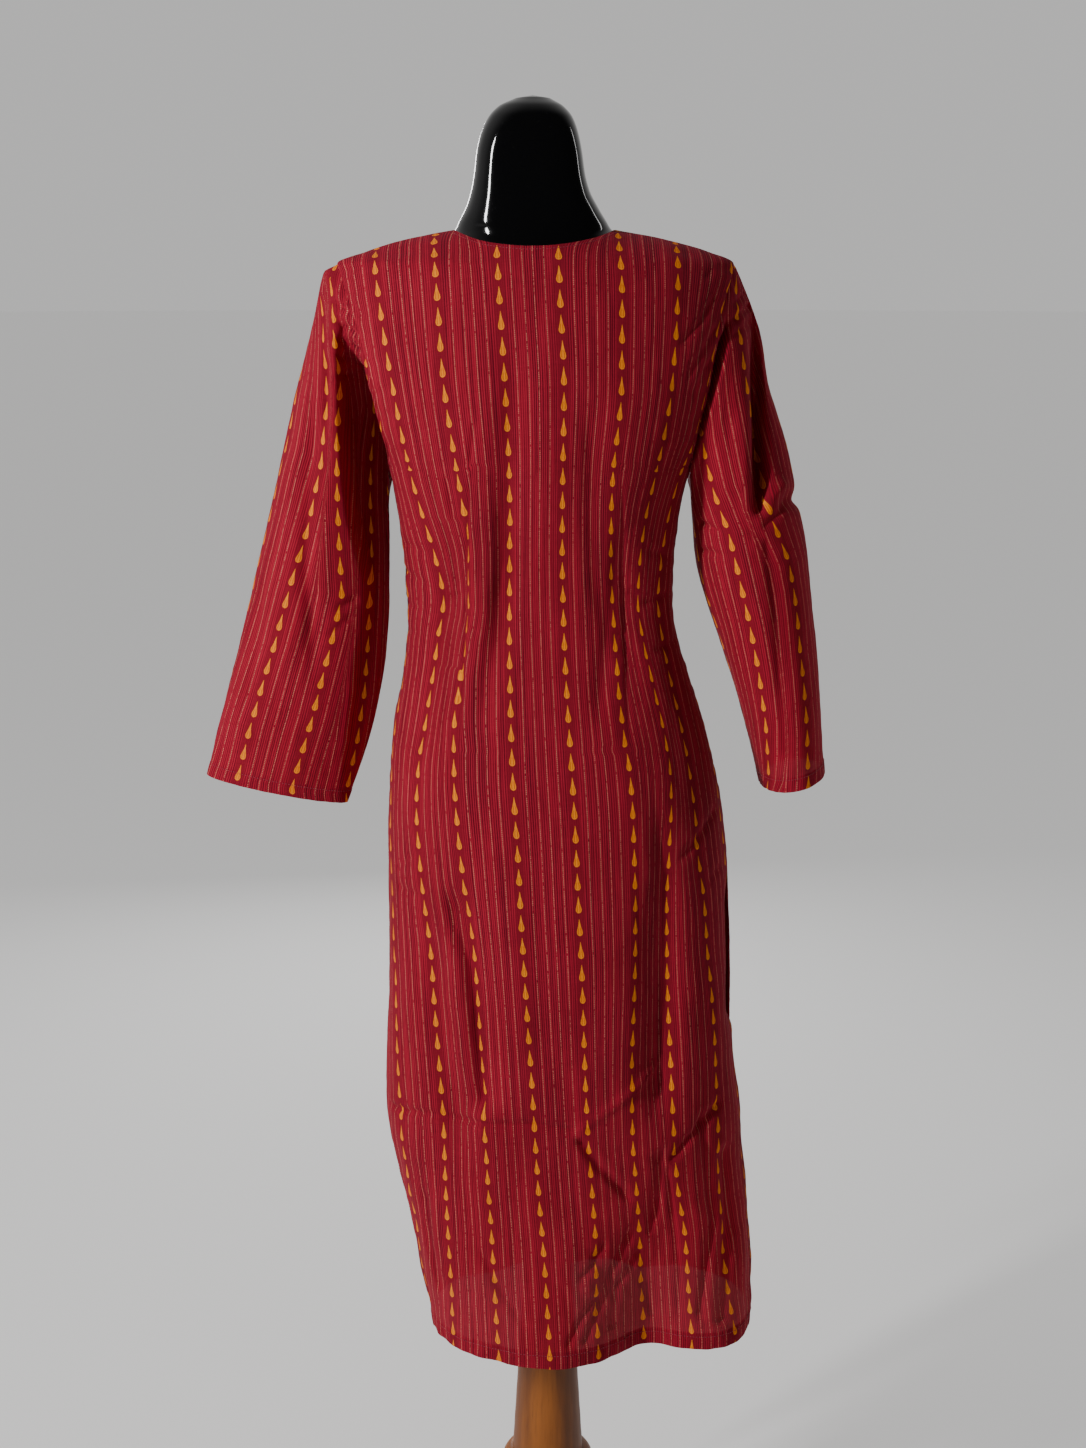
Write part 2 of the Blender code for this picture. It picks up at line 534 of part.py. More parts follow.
def build_cloth(cotton):
    """Back, front and sleeves, mitred along the armholes, and the turned hems inside them."""
    panels = {side: panel_surface(side) for side in (1, -1)}
    normals = {side: outward_normals(panels[side], False, body_axis(panels[side])) for side in (1, -1)}
    underarm = len(panel_levels()) - 1
    slit_row = SKIRT_ROWS
    shifts = {side: np.zeros_like(panels[side]) for side in (1, -1)}
    for side in (1, -1):
        neck_columns = BACK_NECK_COLUMNS if side > 0 else FRONT_NECK_COLUMNS
        shoulder = (COLUMNS - neck_columns) // 2
        for column in (0, -1):
            normals[side][slit_row : underarm + 1, column] = flat_in_y(normals[side][slit_row : underarm + 1, column])
            shifts[side][slit_row : underarm + 1, column, 1] += side * SEAM_GAP / 2
        for seam in (slice(0, shoulder + 1), slice(COLUMNS - shoulder, COLUMNS + 1)):
            normals[side][-1, seam] = flat_in_y(normals[side][-1, seam])
            shifts[side][-1, seam, 1] += side * SEAM_GAP / 2

    sleeves = []
    tables = {
        1: ("sleeve_left", LEFT_SLEEVE, (LEFT_SLEEVE_TROUGH, LEFT_FRONT_TROUGH)),
        -1: ("sleeve_right", RIGHT_SLEEVE, (RIGHT_SLEEVE_TROUGH, RIGHT_FRONT_TROUGH)),
    }
    for sign, (name, table, troughs) in tables.items():
        column = -1 if sign > 0 else 0
        loop = sleeve_loop(panels, sign)
        points = sleeve_surface(loop, table, troughs, sign)
        sleeve_normals = outward_normals(points, True, points.mean(axis=1, keepdims=True))
        back = normals[1][underarm:, column][::-1]
        front = normals[-1][underarm:, column]
        panel_normals = np.concatenate([back, front[1:-1]])
        panel_normals[0] = flat_in_y(panel_normals[0])
        panel_normals[YOKE_ROWS] = flat_in_y(panel_normals[YOKE_ROWS])
        seam = mitre(panel_normals, sleeve_normals[0])
        tangent = unit(np.roll(loop, -1, axis=0) - np.roll(loop, 1, axis=0))
        across = unit(np.cross(tangent, seam))
        across *= np.sign((across * (points[1] - loop)).sum(axis=1, keepdims=True))
        thickness = sleeve_normals.copy()
        thickness[0] = seam
        outer = points.copy()
        outer[0] += across * SEAM_GAP / 2
        inner = outer - thickness * WALL
        sleeves.append((name, outer, inner))
        ends = {1: slice(0, YOKE_ROWS + 1), -1: slice(YOKE_ROWS, 2 * YOKE_ROWS)}
        edge = seam[ends[1]][::-1]
        normals[1][underarm:, column] = edge
        shifts[1][underarm:, column] -= across[ends[1]][::-1] * SEAM_GAP / 2
        front_order = list(range(YOKE_ROWS, 2 * YOKE_ROWS)) + [0]
        normals[-1][underarm:, column] = seam[front_order]
        shifts[-1][underarm:, column] -= across[front_order] * SEAM_GAP / 2

    for side, name in ((1, "back"), (-1, "front")):
        outer = panels[side] + shifts[side]
        inner = outer - normals[side] * WALL
        wall_object(name, outer, inner, False, cotton)
        build_panel_hems(name, inner, normals[side], slit_row, cotton)
    for name, outer, inner in sleeves:
        wall_object(name, outer, inner, True, cotton)
        inward = unit(inner[-2:] - outer[-2:])
        hem_outer = inner[-2:] + inward * HEM_CLEAR
        wall_object(name + "_hem", hem_outer, hem_outer + inward * HEM_WALL, True, cotton)


def build_panel_hems(name, inner, normals, slit_row, cotton):
    """The turned hem along the bottom of a panel and the narrow turnings up both slit edges."""
    face = inner - normals * HEM_CLEAR
    wall_object(name + "_hem", face[:2], face[:2] - normals[:2] * HEM_WALL, False, cotton)
    start = 0.04  # share of a row left clear between the bottom hem and a slit turning
    for label, columns in (("right", slice(0, 2)), ("left", slice(COLUMNS - 1, COLUMNS + 1))):
        strip, lean = face[1:slit_row, columns].copy(), normals[1:slit_row, columns].copy()
        strip[0] += (strip[1] - strip[0]) * start
        wall_object(f"{name}_slit_hem_{label}", strip, strip - lean * HEM_WALL, False, cotton)


def build_form(black):
    """The smooth torso and neck of the dress form, closed at its foot and over its dome."""
    angle = 2 * np.pi * np.arange(FORM_COLUMNS) / FORM_COLUMNS
    points, faces = [], []
    for row in FORM:
        back = np.sin(angle) >= 0
        power = 2 / np.where(back, row.back_round, row.front_round)
        depth = np.where(back, row.back, row.front)
        x = row.middle + row.half * np.sign(np.cos(angle)) * np.abs(np.cos(angle)) ** power
        y = depth * np.sign(np.sin(angle)) * np.abs(np.sin(angle)) ** power
        points += list(zip(x, y, np.full(FORM_COLUMNS, row.z)))
    for r in range(len(FORM) - 1):
        for c in range(FORM_COLUMNS):
            a, b = r * FORM_COLUMNS + c, r * FORM_COLUMNS + (c + 1) % FORM_COLUMNS
            faces.append((a, b, b + FORM_COLUMNS, a + FORM_COLUMNS))
    faces.append(tuple(reversed(range(FORM_COLUMNS))))
    last = (len(FORM) - 1) * FORM_COLUMNS
    points.append((FORM[-1].middle, 0.0, FORM_TOP_Z))
    for c in range(FORM_COLUMNS):
        faces.append((last + c, last + (c + 1) % FORM_COLUMNS, len(points) - 1))
    return mesh_object("dress_form", points, faces, black)


def turned(name, shape, wood):
    """A turned piece: its profile runs down the outside, from the axis to the axis."""
    top, low = shape[0].z, shape[-1].z
    profile = [(0.0, 0.0, top)] + [(t.radius, 0.0, t.z) for t in shape] + [(0.0, 0.0, low)]
    mesh = bpy.data.meshes.new(name)
    mesh.from_pydata(profile, [(k, k + 1) for k in range(len(profile) - 1)], [])
    mesh.materials.append(wood)
    made = bpy.data.objects.new(name, mesh)
    garment_collection().objects.link(made)
    turn = made.modifiers.new("turning", "SCREW")
    turn.axis = "Z"
    turn.steps = TURN_STEPS
    turn.render_steps = TURN_STEPS
    turn.use_merge_vertices = True
    turn.merge_threshold = 0.00001
    turn.use_smooth_shade = True
    return made


def build_stand(wood):
    flange_top = FORM[0].z - STAND_CLEAR
    flange = (Turning(FLANGE_RADIUS, flange_top), Turning(FLANGE_RADIUS, flange_top - FLANGE_HEIGHT))
    turned("stand_flange", flange, wood)
    turned("stand_column", COLUMN_SHAPE, wood)
    turned("stand_collar", COLLAR_SHAPE, wood)
    turned("stand_base", BASE_SHAPE, wood)


def main():
    for old in list(bpy.data.objects):
        bpy.data.objects.remove(old)
    build_cloth(material(PRINTED_COTTON))
    build_form(material(GLOSS_BLACK))
    build_stand(material(TURNED_WOOD))


main()
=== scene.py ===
# Looks of the kurta tunic on its dress form: cloth shells with folds, hems and stitching, the
# printed cotton, the polished form and the turned stand.
# The garment's front faces -Y and the wearer's left is +X. Lengths are in metres.
from collections import namedtuple
from math import pi, radians

import bmesh
import bpy
import numpy as np
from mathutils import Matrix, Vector, noise
from mathutils.bvhtree import BVHTree


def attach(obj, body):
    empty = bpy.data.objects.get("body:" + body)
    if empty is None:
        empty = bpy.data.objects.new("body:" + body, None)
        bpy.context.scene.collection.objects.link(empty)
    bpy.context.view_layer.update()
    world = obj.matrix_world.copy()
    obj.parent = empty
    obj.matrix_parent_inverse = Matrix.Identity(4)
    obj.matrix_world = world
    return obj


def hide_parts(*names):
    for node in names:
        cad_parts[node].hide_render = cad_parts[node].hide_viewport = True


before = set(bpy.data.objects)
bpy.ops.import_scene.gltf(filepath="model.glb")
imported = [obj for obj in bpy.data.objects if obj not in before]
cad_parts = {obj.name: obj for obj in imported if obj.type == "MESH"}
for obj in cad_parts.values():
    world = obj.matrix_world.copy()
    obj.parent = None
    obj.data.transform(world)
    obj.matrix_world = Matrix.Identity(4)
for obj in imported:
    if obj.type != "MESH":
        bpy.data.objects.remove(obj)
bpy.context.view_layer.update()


def table_of(kind, *values):
    """A table with a row of the given kind for each tuple of values."""
    return tuple(map(kind._make, values))


# Sizes of the garment, the solids' own but for the armholes and the shoulders' ends

HEM_Z = 0.370
SLIT_TOP_Z = 0.895
UNDERARM_Z = 1.262
NECK_POINT_Z = 1.480
TIP_Z = 1.449
BACK_NECK_Z, BACK_NECK_CURVE = 1.4655, 2.5
FRONT_NECK_Z, FRONT_NECK_CURVE = 1.385, 2.3
HEM_HEIGHT = 0.017
CUFF_HEM_HEIGHT = 0.013
SLIT_HEM = 0.011
NECK_TURNING = 0.016
# How far behind the cloth its turned edges lie.
TURNED_BEHIND, SLIT_TURNED_BEHIND = 0.0011, 0.0016
# How far the cloth is held flat beside a seam, the width and height of the roll there, and the
# least distance between the cloth and the form.
SEAM_FLAT, SEAM_ROLL, SEAM_STEP = 0.005, 0.0032, 0.0009
LEAST_CLEARANCE = 0.0009

Section = namedtuple("Section", "z left right back front back_round front_round")
GARMENT = table_of(
    Section,
    (0.370, 0.120, -0.213, 0.118, 0.104, 2.5, 2.4),
    (0.432, 0.132, -0.213, 0.117, 0.104, 2.5, 2.4),
    (0.491, 0.142, -0.208, 0.117, 0.104, 2.5, 2.4),
    (0.562, 0.157, -0.200, 0.118, 0.104, 2.5, 2.4),
    (0.607, 0.165, -0.197, 0.119, 0.104, 2.5, 2.4),
    (0.677, 0.163, -0.187, 0.119, 0.104, 2.5, 2.4),
    (0.773, 0.159, -0.184, 0.120, 0.105, 2.4, 2.4),
    (0.882, 0.159, -0.177, 0.120, 0.107, 2.4, 2.4),
    (0.934, 0.157, -0.170, 0.116, 0.108, 2.4, 2.4),
    (1.008, 0.151, -0.153, 0.101, 0.102, 2.4, 2.4),
    (1.057, 0.1415, -0.137, 0.088, 0.094, 2.4, 2.4),
    (1.111, 0.1360, -0.122, 0.077, 0.088, 2.4, 2.4),
    (1.137, 0.1365, -0.120, 0.076, 0.090, 2.4, 2.4),
    (1.170, 0.1385, -0.121, 0.080, 0.101, 2.4, 2.5),
    (1.226, 0.1455, -0.127, 0.091, 0.124, 2.3, 2.6),
    (1.262, 0.1520, -0.136, 0.096, 0.127, 2.3, 2.6),
    (1.300, 0.1690, -0.153, 0.100, 0.119, 2.3, 2.4),
    (1.350, 0.1860, -0.170, 0.102, 0.106, 2.3, 2.3),
    (1.400, 0.1985, -0.178, 0.097, 0.092, 2.1, 2.1),
    (1.430, 0.2000, -0.178, 0.088, 0.081, 1.9, 1.9),
    (1.449, 0.1980, -0.174, 0.079, 0.071, 1.7, 1.7),
    (1.460, 0.1700, -0.150, 0.071, 0.064, 1.55, 1.55),
    (1.468, 0.1450, -0.122, 0.065, 0.058, 1.45, 1.45),
    (1.475, 0.1140, -0.090, 0.058, 0.052, 1.40, 1.40),
    (1.480, 0.0880, -0.062, 0.052, 0.047, 1.40, 1.40),
)

ArmholeMark = namedtuple("ArmholeMark", "z reach")
ARMHOLE = table_of(
    ArmholeMark,
    (1.262, 0.1440),
    (1.276, 0.1425),
    (1.300, 0.1475),
    (1.350, 0.1580),
    (1.400, 0.1700),
    (1.430, 0.1800),
    (1.449, 0.1860),
)

# The folds that the solids have too.
Fold = namedtuple("Fold", "x_top z_top x_low z_low width depth fade_top fade_low")
BACK_FOLDS = table_of(
    Fold,
    (0.126, 0.890, 0.078, 0.560, 0.020, 0.011, 0.12, 0.10),
    (0.100, 0.860, 0.050, 0.480, 0.026, -0.005, 0.14, 0.16),
    (-0.100, 0.930, -0.112, 0.600, 0.024, 0.010, 0.16, 0.10),
    (-0.104, 0.620, -0.108, 0.370, 0.052, 0.044, 0.26, 0.00),
    (-0.030, 0.560, 0.004, 0.370, 0.050, -0.004, 0.20, 0.00),
    (0.044, 1.300, 0.040, 1.060, 0.012, 0.004, 0.10, 0.08),
    (0.090, 1.230, 0.094, 0.990, 0.012, 0.004, 0.10, 0.10),
    (-0.072, 1.230, -0.082, 0.990, 0.012, 0.004, 0.10, 0.10),
)
FRONT_FOLDS = table_of(
    Fold,
    (0.098, 1.180, 0.100, 0.980, 0.013, 0.004, 0.08, 0.10),
    (-0.080, 1.180, -0.086, 0.980, 0.013, 0.004, 0.08, 0.10),
    (0.070, 0.860, 0.062, 0.370, 0.024, 0.013, 0.30, 0.00),
    (0.010, 0.700, -0.012, 0.370, 0.028, 0.011, 0.30, 0.00),
    (-0.078, 0.900, -0.104, 0.370, 0.026, 0.016, 0.30, 0.00),
)

# Creases by points (x, z) down each one, its widths to the left and right of its line, its depth
# (below 0 for a ridge) and how long it takes to fade at each end.
Crease = namedtuple("Crease", "line left right depth fade_top fade_low")
BACK_CREASES = table_of(
    Crease,
    # down the middle of the back
    (((0.033, 1.401), (0.036, 1.294), (0.037, 1.182), (0.048, 1.105), (0.060, 1.059), (0.068, 1.008)),
     0.012, 0.014, 0.0046, 0.100, 0.050),
    (((0.051, 1.267), (0.054, 1.182), (0.062, 1.114), (0.074, 1.040)), 0.010, 0.009, -0.0014, 0.050, 0.050),
    (((0.002, 1.392), (0.002, 1.182)), 0.010, 0.010, -0.0016, 0.060, 0.060),
    (((-0.037, 1.330), (-0.042, 1.181), (-0.051, 1.105)), 0.008, 0.011, 0.0024, 0.060, 0.040),
    (((-0.065, 1.219), (-0.060, 1.142), (-0.052, 1.068), (-0.046, 1.012)),
     0.009, 0.012, 0.0034, 0.060, 0.050),
    # beside the darts
    (((0.067, 1.314), (0.072, 1.268)), 0.0022, 0.0028, 0.0018, 0.012, 0.012),
    (((0.095, 1.263), (0.088, 1.215)), 0.0022, 0.0028, 0.0020, 0.012, 0.012),
    (((0.080, 1.150), (0.094, 1.139)), 0.003, 0.003, 0.0013, 0.004, 0.008),
    (((0.076, 1.118), (0.063, 1.109)), 0.003, 0.003, 0.0014, 0.004, 0.008),
    (((-0.074, 1.150), (-0.088, 1.140)), 0.003, 0.003, 0.0014, 0.004, 0.008),
    (((-0.072, 1.112), (-0.060, 1.102)), 0.003, 0.003, 0.0012, 0.004, 0.008),
    # skirt
    (((0.097, 0.881), (0.089, 0.833), (0.079, 0.797), (0.073, 0.749), (0.070, 0.698), (0.067, 0.638)),
     0.009, 0.020, 0.0130, 0.050, 0.020),
    (((-0.101, 0.983), (-0.110, 0.907), (-0.115, 0.838), (-0.116, 0.757), (-0.111, 0.696), (-0.106, 0.600)),
     0.012, 0.014, 0.0060, 0.090, 0.090),
    (((0.013, 0.960), (0.006, 0.800), (0.002, 0.680)), 0.012, 0.016, 0.0018, 0.080, 0.060),
    # where it lay folded in store
    (((0.163, 0.621), (0.122, 0.633), (0.076, 0.632), (0.018, 0.634), (-0.028, 0.627)),
     0.0032, 0.0026, 0.0042, 0.010, 0.006),
    (((-0.028, 0.627), (-0.050, 0.642), (-0.089, 0.671), (-0.117, 0.695)),
     0.004, 0.004, -0.0030, 0.008, 0.020),
    (((-0.027, 0.620), (-0.051, 0.585), (-0.066, 0.568), (-0.085, 0.543)),
     0.0035, 0.0050, 0.0060, 0.008, 0.016),
    (((-0.118, 0.585), (-0.140, 0.609), (-0.176, 0.640)), 0.0035, 0.0050, 0.0048, 0.008, 0.012),
    (((-0.112, 0.607), (-0.111, 0.554), (-0.106, 0.515)), 0.006, 0.0035, 0.0036, 0.012, 0.012),
    (((-0.118, 0.585), (-0.090, 0.602), (-0.049, 0.607)), 0.003, 0.003, 0.0015, 0.006, 0.020),
    (((-0.118, 0.585), (-0.125, 0.531), (-0.134, 0.454), (-0.131, 0.397)),
     0.004, 0.004, 0.0026, 0.010, 0.006),
    # the fan of wrinkles above the hem
    (((-0.058, 0.506), (-0.044, 0.479), (-0.028, 0.460)), 0.003, 0.0040, 0.0038, 0.010, 0.010),
    (((-0.085, 0.517), (-0.064, 0.470), (-0.052, 0.433), (-0.035, 0.389)),
     0.003, 0.004, 0.0046, 0.012, 0.006),
    (((-0.094, 0.490), (-0.067, 0.446), (-0.063, 0.398)), 0.003, 0.004, 0.0040, 0.012, 0.006),
    (((-0.052, 0.446), (-0.034, 0.422), (-0.018, 0.389)), 0.003, 0.003, 0.0034, 0.010, 0.006),
    (((-0.107, 0.552), (-0.100, 0.501)), 0.003, 0.004, 0.0032, 0.010, 0.010),
    (((-0.092, 0.456), (-0.107, 0.398)), 0.003, 0.003, 0.0028, 0.010, 0.006),
    (((-0.150, 0.638), (-0.157, 0.582), (-0.166, 0.516), (-0.160, 0.454), (-0.154, 0.401)),
     0.005, 0.005, 0.0046, 0.014, 0.006),
    (((-0.176, 0.595), (-0.183, 0.508), (-0.180, 0.436), (-0.177, 0.393)),
     0.007, 0.006, 0.0060, 0.020, 0.006),
    (((0.070, 0.496), (0.048, 0.450), (0.020, 0.409)), 0.004, 0.004, 0.0030, 0.016, 0.010),
    (((0.083, 0.447), (0.045, 0.426)), 0.003, 0.003, 0.0012, 0.010, 0.010),
    (((0.124, 0.550), (0.120, 0.485), (0.109, 0.422)), 0.005, 0.005, 0.0034, 0.020, 0.016),
    # drag lines at the side seams and the tops of the slits
    (((0.138, 1.192), (0.109, 1.182)), 0.003, 0.003, 0.0019, 0.004, 0.012),
    (((0.143, 1.164), (0.108, 1.153)), 0.003, 0.003, 0.0021, 0.004, 0.012),
    (((0.144, 1.132), (0.115, 1.129)), 0.003, 0.003, 0.0017, 0.004, 0.012),
    (((0.143, 1.101), (0.118, 1.108)), 0.003, 0.003, 0.0013, 0.004, 0.010),
    (((-0.114, 1.179), (-0.086, 1.191)), 0.003, 0.003, 0.0019, 0.004, 0.012),
    (((-0.114, 1.143), (-0.085, 1.135)), 0.003, 0.003, 0.0021, 0.004, 0.012),
    (((-0.125, 1.096), (-0.095, 1.090)), 0.003, 0.003, 0.0018, 0.004, 0.012),
    (((0.148, 0.858), (0.116, 0.854)), 0.004, 0.004, 0.0022, 0.004, 0.014),
    (((0.148, 0.875), (0.123, 0.902)), 0.003, 0.003, 0.0015, 0.004, 0.012),
    (((-0.164, 0.934), (-0.146, 0.915), (-0.122, 0.888)), 0.004, 0.004, 0.0026, 0.004, 0.016),
    (((-0.171, 0.878), (-0.151, 0.866)), 0.003, 0.003, 0.0016, 0.004, 0.012),
    # yoke and nape
    (((-0.154, 1.424), (-0.138, 1.398), (-0.116, 1.374)), 0.003, 0.004, 0.0018, 0.004, 0.014),
    (((-0.160, 1.401), (-0.142, 1.375), (-0.122, 1.343)), 0.003, 0.004, 0.0021, 0.004, 0.014),
    (((-0.154, 1.374), (-0.139, 1.346), (-0.132, 1.324)), 0.003, 0.003, 0.0018, 0.004, 0.012),
    (((-0.151, 1.446), (-0.142, 1.432)), 0.003, 0.003, 0.0012, 0.004, 0.010),
    (((0.184, 1.397), (0.172, 1.358), (0.156, 1.324)), 0.004, 0.003, 0.0019, 0.004, 0.016),
    (((0.189, 1.424), (0.167, 1.398)), 0.003, 0.003, 0.0013, 0.004, 0.012),
    (((0.162, 1.298), (0.142, 1.279)), 0.003, 0.003, 0.0014, 0.004, 0.012),
    (((0.045, 1.440), (0.012, 1.436), (-0.016, 1.441)), 0.003, 0.003, 0.0007, 0.008, 0.008),
)
FRONT_CREASES = table_of(
    Crease,
    (((0.020, 1.180), (0.016, 1.080), (0.012, 0.960)), 0.008, 0.012, 0.0030, 0.060, 0.060),
    (((-0.030, 1.150), (-0.034, 1.050), (-0.040, 0.930)), 0.010, 0.006, 0.0024, 0.060, 0.060),
    (((0.112, 0.930), (0.100, 0.800), (0.092, 0.640)), 0.013, 0.007, 0.0060, 0.060, 0.050),
    (((-0.112, 0.960), (-0.122, 0.820), (-0.128, 0.660)), 0.008, 0.014, 0.0065, 0.070, 0.050),
    (((0.030, 0.740), (0.020, 0.600), (0.004, 0.450)), 0.012, 0.008, 0.0045, 0.080, 0.040),
    (((0.150, 0.628), (0.090, 0.634), (0.010, 0.629), (-0.090, 0.636), (-0.170, 0.630)),
     0.0024, 0.0024, 0.0014, 0.010, 0.010),
    (((-0.060, 0.600), (-0.085, 0.540), (-0.098, 0.440)), 0.004, 0.005, 0.0030, 0.014, 0.020),
    (((0.060, 0.520), (0.086, 0.450), (0.094, 0.400)), 0.005, 0.004, 0.0026, 0.014, 0.010),
    (((-0.140, 0.560), (-0.156, 0.480), (-0.150, 0.400)), 0.006, 0.005, 0.0040, 0.016, 0.008),
    (((0.090, 1.360), (0.080, 1.310), (0.078, 1.270)), 0.006, 0.005, 0.0022, 0.014, 0.020),
    (((-0.076, 1.352), (-0.066, 1.304), (-0.063, 1.268)), 0.005, 0.006, 0.0022, 0.014, 0.020),
    (((0.150, 1.350), (0.128, 1.318), (0.118, 1.290)), 0.004, 0.004, 0.0024, 0.004, 0.016),
    (((-0.140, 1.352), (-0.118, 1.322), (-0.108, 1.288)), 0.004, 0.004, 0.0024, 0.004, 0.016),
    (((0.139, 1.176), (0.108, 1.166)), 0.003, 0.003, 0.0020, 0.004, 0.012),
    (((0.138, 1.134), (0.104, 1.140)), 0.003, 0.003, 0.0020, 0.004, 0.012),
    (((-0.118, 1.170), (-0.088, 1.178)), 0.003, 0.003, 0.0020, 0.004, 0.012),
    (((-0.116, 1.126), (-0.084, 1.118)), 0.003, 0.003, 0.0020, 0.004, 0.012),
    (((0.158, 0.905), (0.130, 0.885)), 0.004, 0.004, 0.0022, 0.004, 0.014),
    (((-0.174, 0.910), (-0.146, 0.890)), 0.004, 0.004, 0.0022, 0.004, 0.014),
)
LEFT_SLEEVE_CREASES = table_of(
    Crease,
    (((0.2151, 1.340), (0.2264, 1.234), (0.2298, 1.177), (0.2248, 1.120), (0.2247, 1.052)),
     0.008, 0.010, 0.0060, 0.060, 0.060),
    (((0.2050, 1.372), (0.2060, 1.330), (0.2070, 1.290)), 0.004, 0.003, 0.0035, 0.014, 0.030),
    (((0.2700, 1.180), (0.2800, 1.090), (0.2950, 1.010)), 0.009, 0.007, 0.0022, 0.050, 0.040),
    (((0.1990, 1.415), (0.1740, 1.402)), 0.0028, 0.0034, 0.0030, 0.006, 0.008),
    (((0.2000, 1.401), (0.1720, 1.384)), 0.0028, 0.0034, 0.0036, 0.006, 0.008),
    (((0.2010, 1.385), (0.1690, 1.369)), 0.0030, 0.0034, 0.0032, 0.006, 0.008),
    (((0.1990, 1.369), (0.1690, 1.351)), 0.0028, 0.0034, 0.0036, 0.006, 0.008),
    (((0.1980, 1.351), (0.1660, 1.337)), 0.0030, 0.0034, 0.0028, 0.006, 0.008),
    (((0.2060, 1.128), (0.1800, 1.142)), 0.004, 0.003, 0.0022, 0.014, 0.006),
    (((0.2150, 1.100), (0.1840, 1.126)), 0.003, 0.003, 0.0014, 0.014, 0.006),
)
RIGHT_SLEEVE_CREASES = table_of(
    Crease,
    (((-0.1971, 1.222), (-0.2109, 1.237), (-0.2265, 1.253)), 0.006, 0.006, -0.0040, 0.010, 0.010),
    (((-0.1985, 1.208), (-0.2160, 1.221), (-0.2300, 1.240)), 0.005, 0.004, 0.0030, 0.008, 0.008),
    (((-0.1422, 1.211), (-0.1662, 1.202)), 0.003, 0.003, 0.0032, 0.004, 0.014),
    (((-0.1446, 1.184), (-0.1705, 1.180)), 0.003, 0.003, 0.0026, 0.004, 0.014),
    (((-0.1800, 1.206), (-0.2060, 1.198)), 0.004, 0.004, 0.0018, 0.010, 0.012),
    (((-0.1880, 1.186), (-0.2100, 1.172)), 0.004, 0.004, 0.0014, 0.010, 0.012),
    (((-0.2028, 1.215), (-0.2142, 1.139), (-0.2236, 1.042), (-0.2303, 0.972)),
     0.006, 0.012, 0.0045, 0.030, 0.020),
    (((-0.1640, 1.330), (-0.1700, 1.270), (-0.1820, 1.215)), 0.008, 0.006, 0.0022, 0.030, 0.030),
    (((-0.1900, 1.428), (-0.1680, 1.410)), 0.0028, 0.0034, 0.0024, 0.006, 0.008),
    (((-0.1930, 1.414), (-0.1660, 1.395)), 0.0028, 0.0034, 0.0030, 0.006, 0.008),
    (((-0.1910, 1.399), (-0.1640, 1.380)), 0.0028, 0.0034, 0.0024, 0.006, 0.008),
)

Ring = namedtuple("Ring", "share out_x out_z in_x in_z y half_depth")
LEFT_SLEEVE = table_of(
    Ring,
    (0.00, 0.2620, 1.236, 0.1545, 1.214, 0.004, 0.056),
    (0.20, 0.2760, 1.180, 0.1540, 1.160, 0.006, 0.053),
    (0.48, 0.2970, 1.100, 0.1590, 1.076, 0.008, 0.046),
    (0.76, 0.3190, 1.022, 0.1770, 0.994, 0.010, 0.036),
    (1.00, 0.3360, 0.959, 0.1990, 0.931, 0.012, 0.024),
)
RIGHT_SLEEVE = table_of(
    Ring,
    (0.00, -0.2380, 1.236, -0.1400, 1.214, -0.002, 0.062),
    (0.20, -0.2500, 1.180, -0.1450, 1.166, -0.004, 0.064),
    (0.48, -0.2600, 1.100, -0.1700, 1.088, -0.006, 0.066),
    (0.76, -0.2680, 1.022, -0.1950, 1.012, -0.006, 0.065),
    (1.00, -0.2735, 0.960, -0.2125, 0.945, -0.006, 0.059),
)

# The trough that runs down each sleeve. turn: 0 outside, 0.25 back, 0.5 towards the body, 0.75 front.
SleeveMark = namedtuple("SleeveMark", "down turn width depth")
LEFT_SLEEVE_TROUGH = table_of(
    SleeveMark,
    (0.10, 0.700, 0.060, 0.000),
    (0.40, 0.660, 0.060, 0.014),
    (0.80, 0.640, 0.050, 0.000),
)
RIGHT_SLEEVE_TROUGH = table_of(
    SleeveMark,
    (0.10, 0.760, 0.060, 0.000),
    (0.42, 0.700, 0.060, 0.016),
    (0.85, 0.680, 0.060, 0.000),
)

# The hollow in the back of the left sleeve, from this edge towards the body. share is how far
# the cloth falls in, 1 being half way through the sleeve.
Hollow = namedtuple("Hollow", "z edge share")
LEFT_HOLLOW = table_of(
    Hollow,
    (0.940, 0.2010, 0.10),
    (0.961, 0.2004, 0.30),
    (1.021, 0.1913, 0.55),
    (1.080, 0.1833, 0.75),
    (1.117, 0.1750, 0.90),
    (1.148, 0.1725, 1.00),
    (1.186, 0.1800, 1.10),
    (1.221, 0.1868, 1.20),
    (1.252, 0.1899, 1.25),
    (1.299, 0.1926, 1.28),
    (1.345, 0.1940, 0.85),
    (1.380, 0.1955, 0.28),
    (1.410, 0.1944, 0.06),
    (1.432, 0.1940, 0.00),
)
# The upright crease in the right sleeve's back: its line and how far the cloth falls in.
RIGHT_CREASE = table_of(
    Hollow,
    (1.218, -0.1987, 0.00),
    (1.238, -0.1980, 0.62),
    (1.270, -0.1969, 0.95),
    (1.326, -0.1955, 1.00),
    (1.381, -0.1932, 0.90),
    (1.410, -0.1908, 0.60),
    (1.432, -0.1895, 0.00),
)

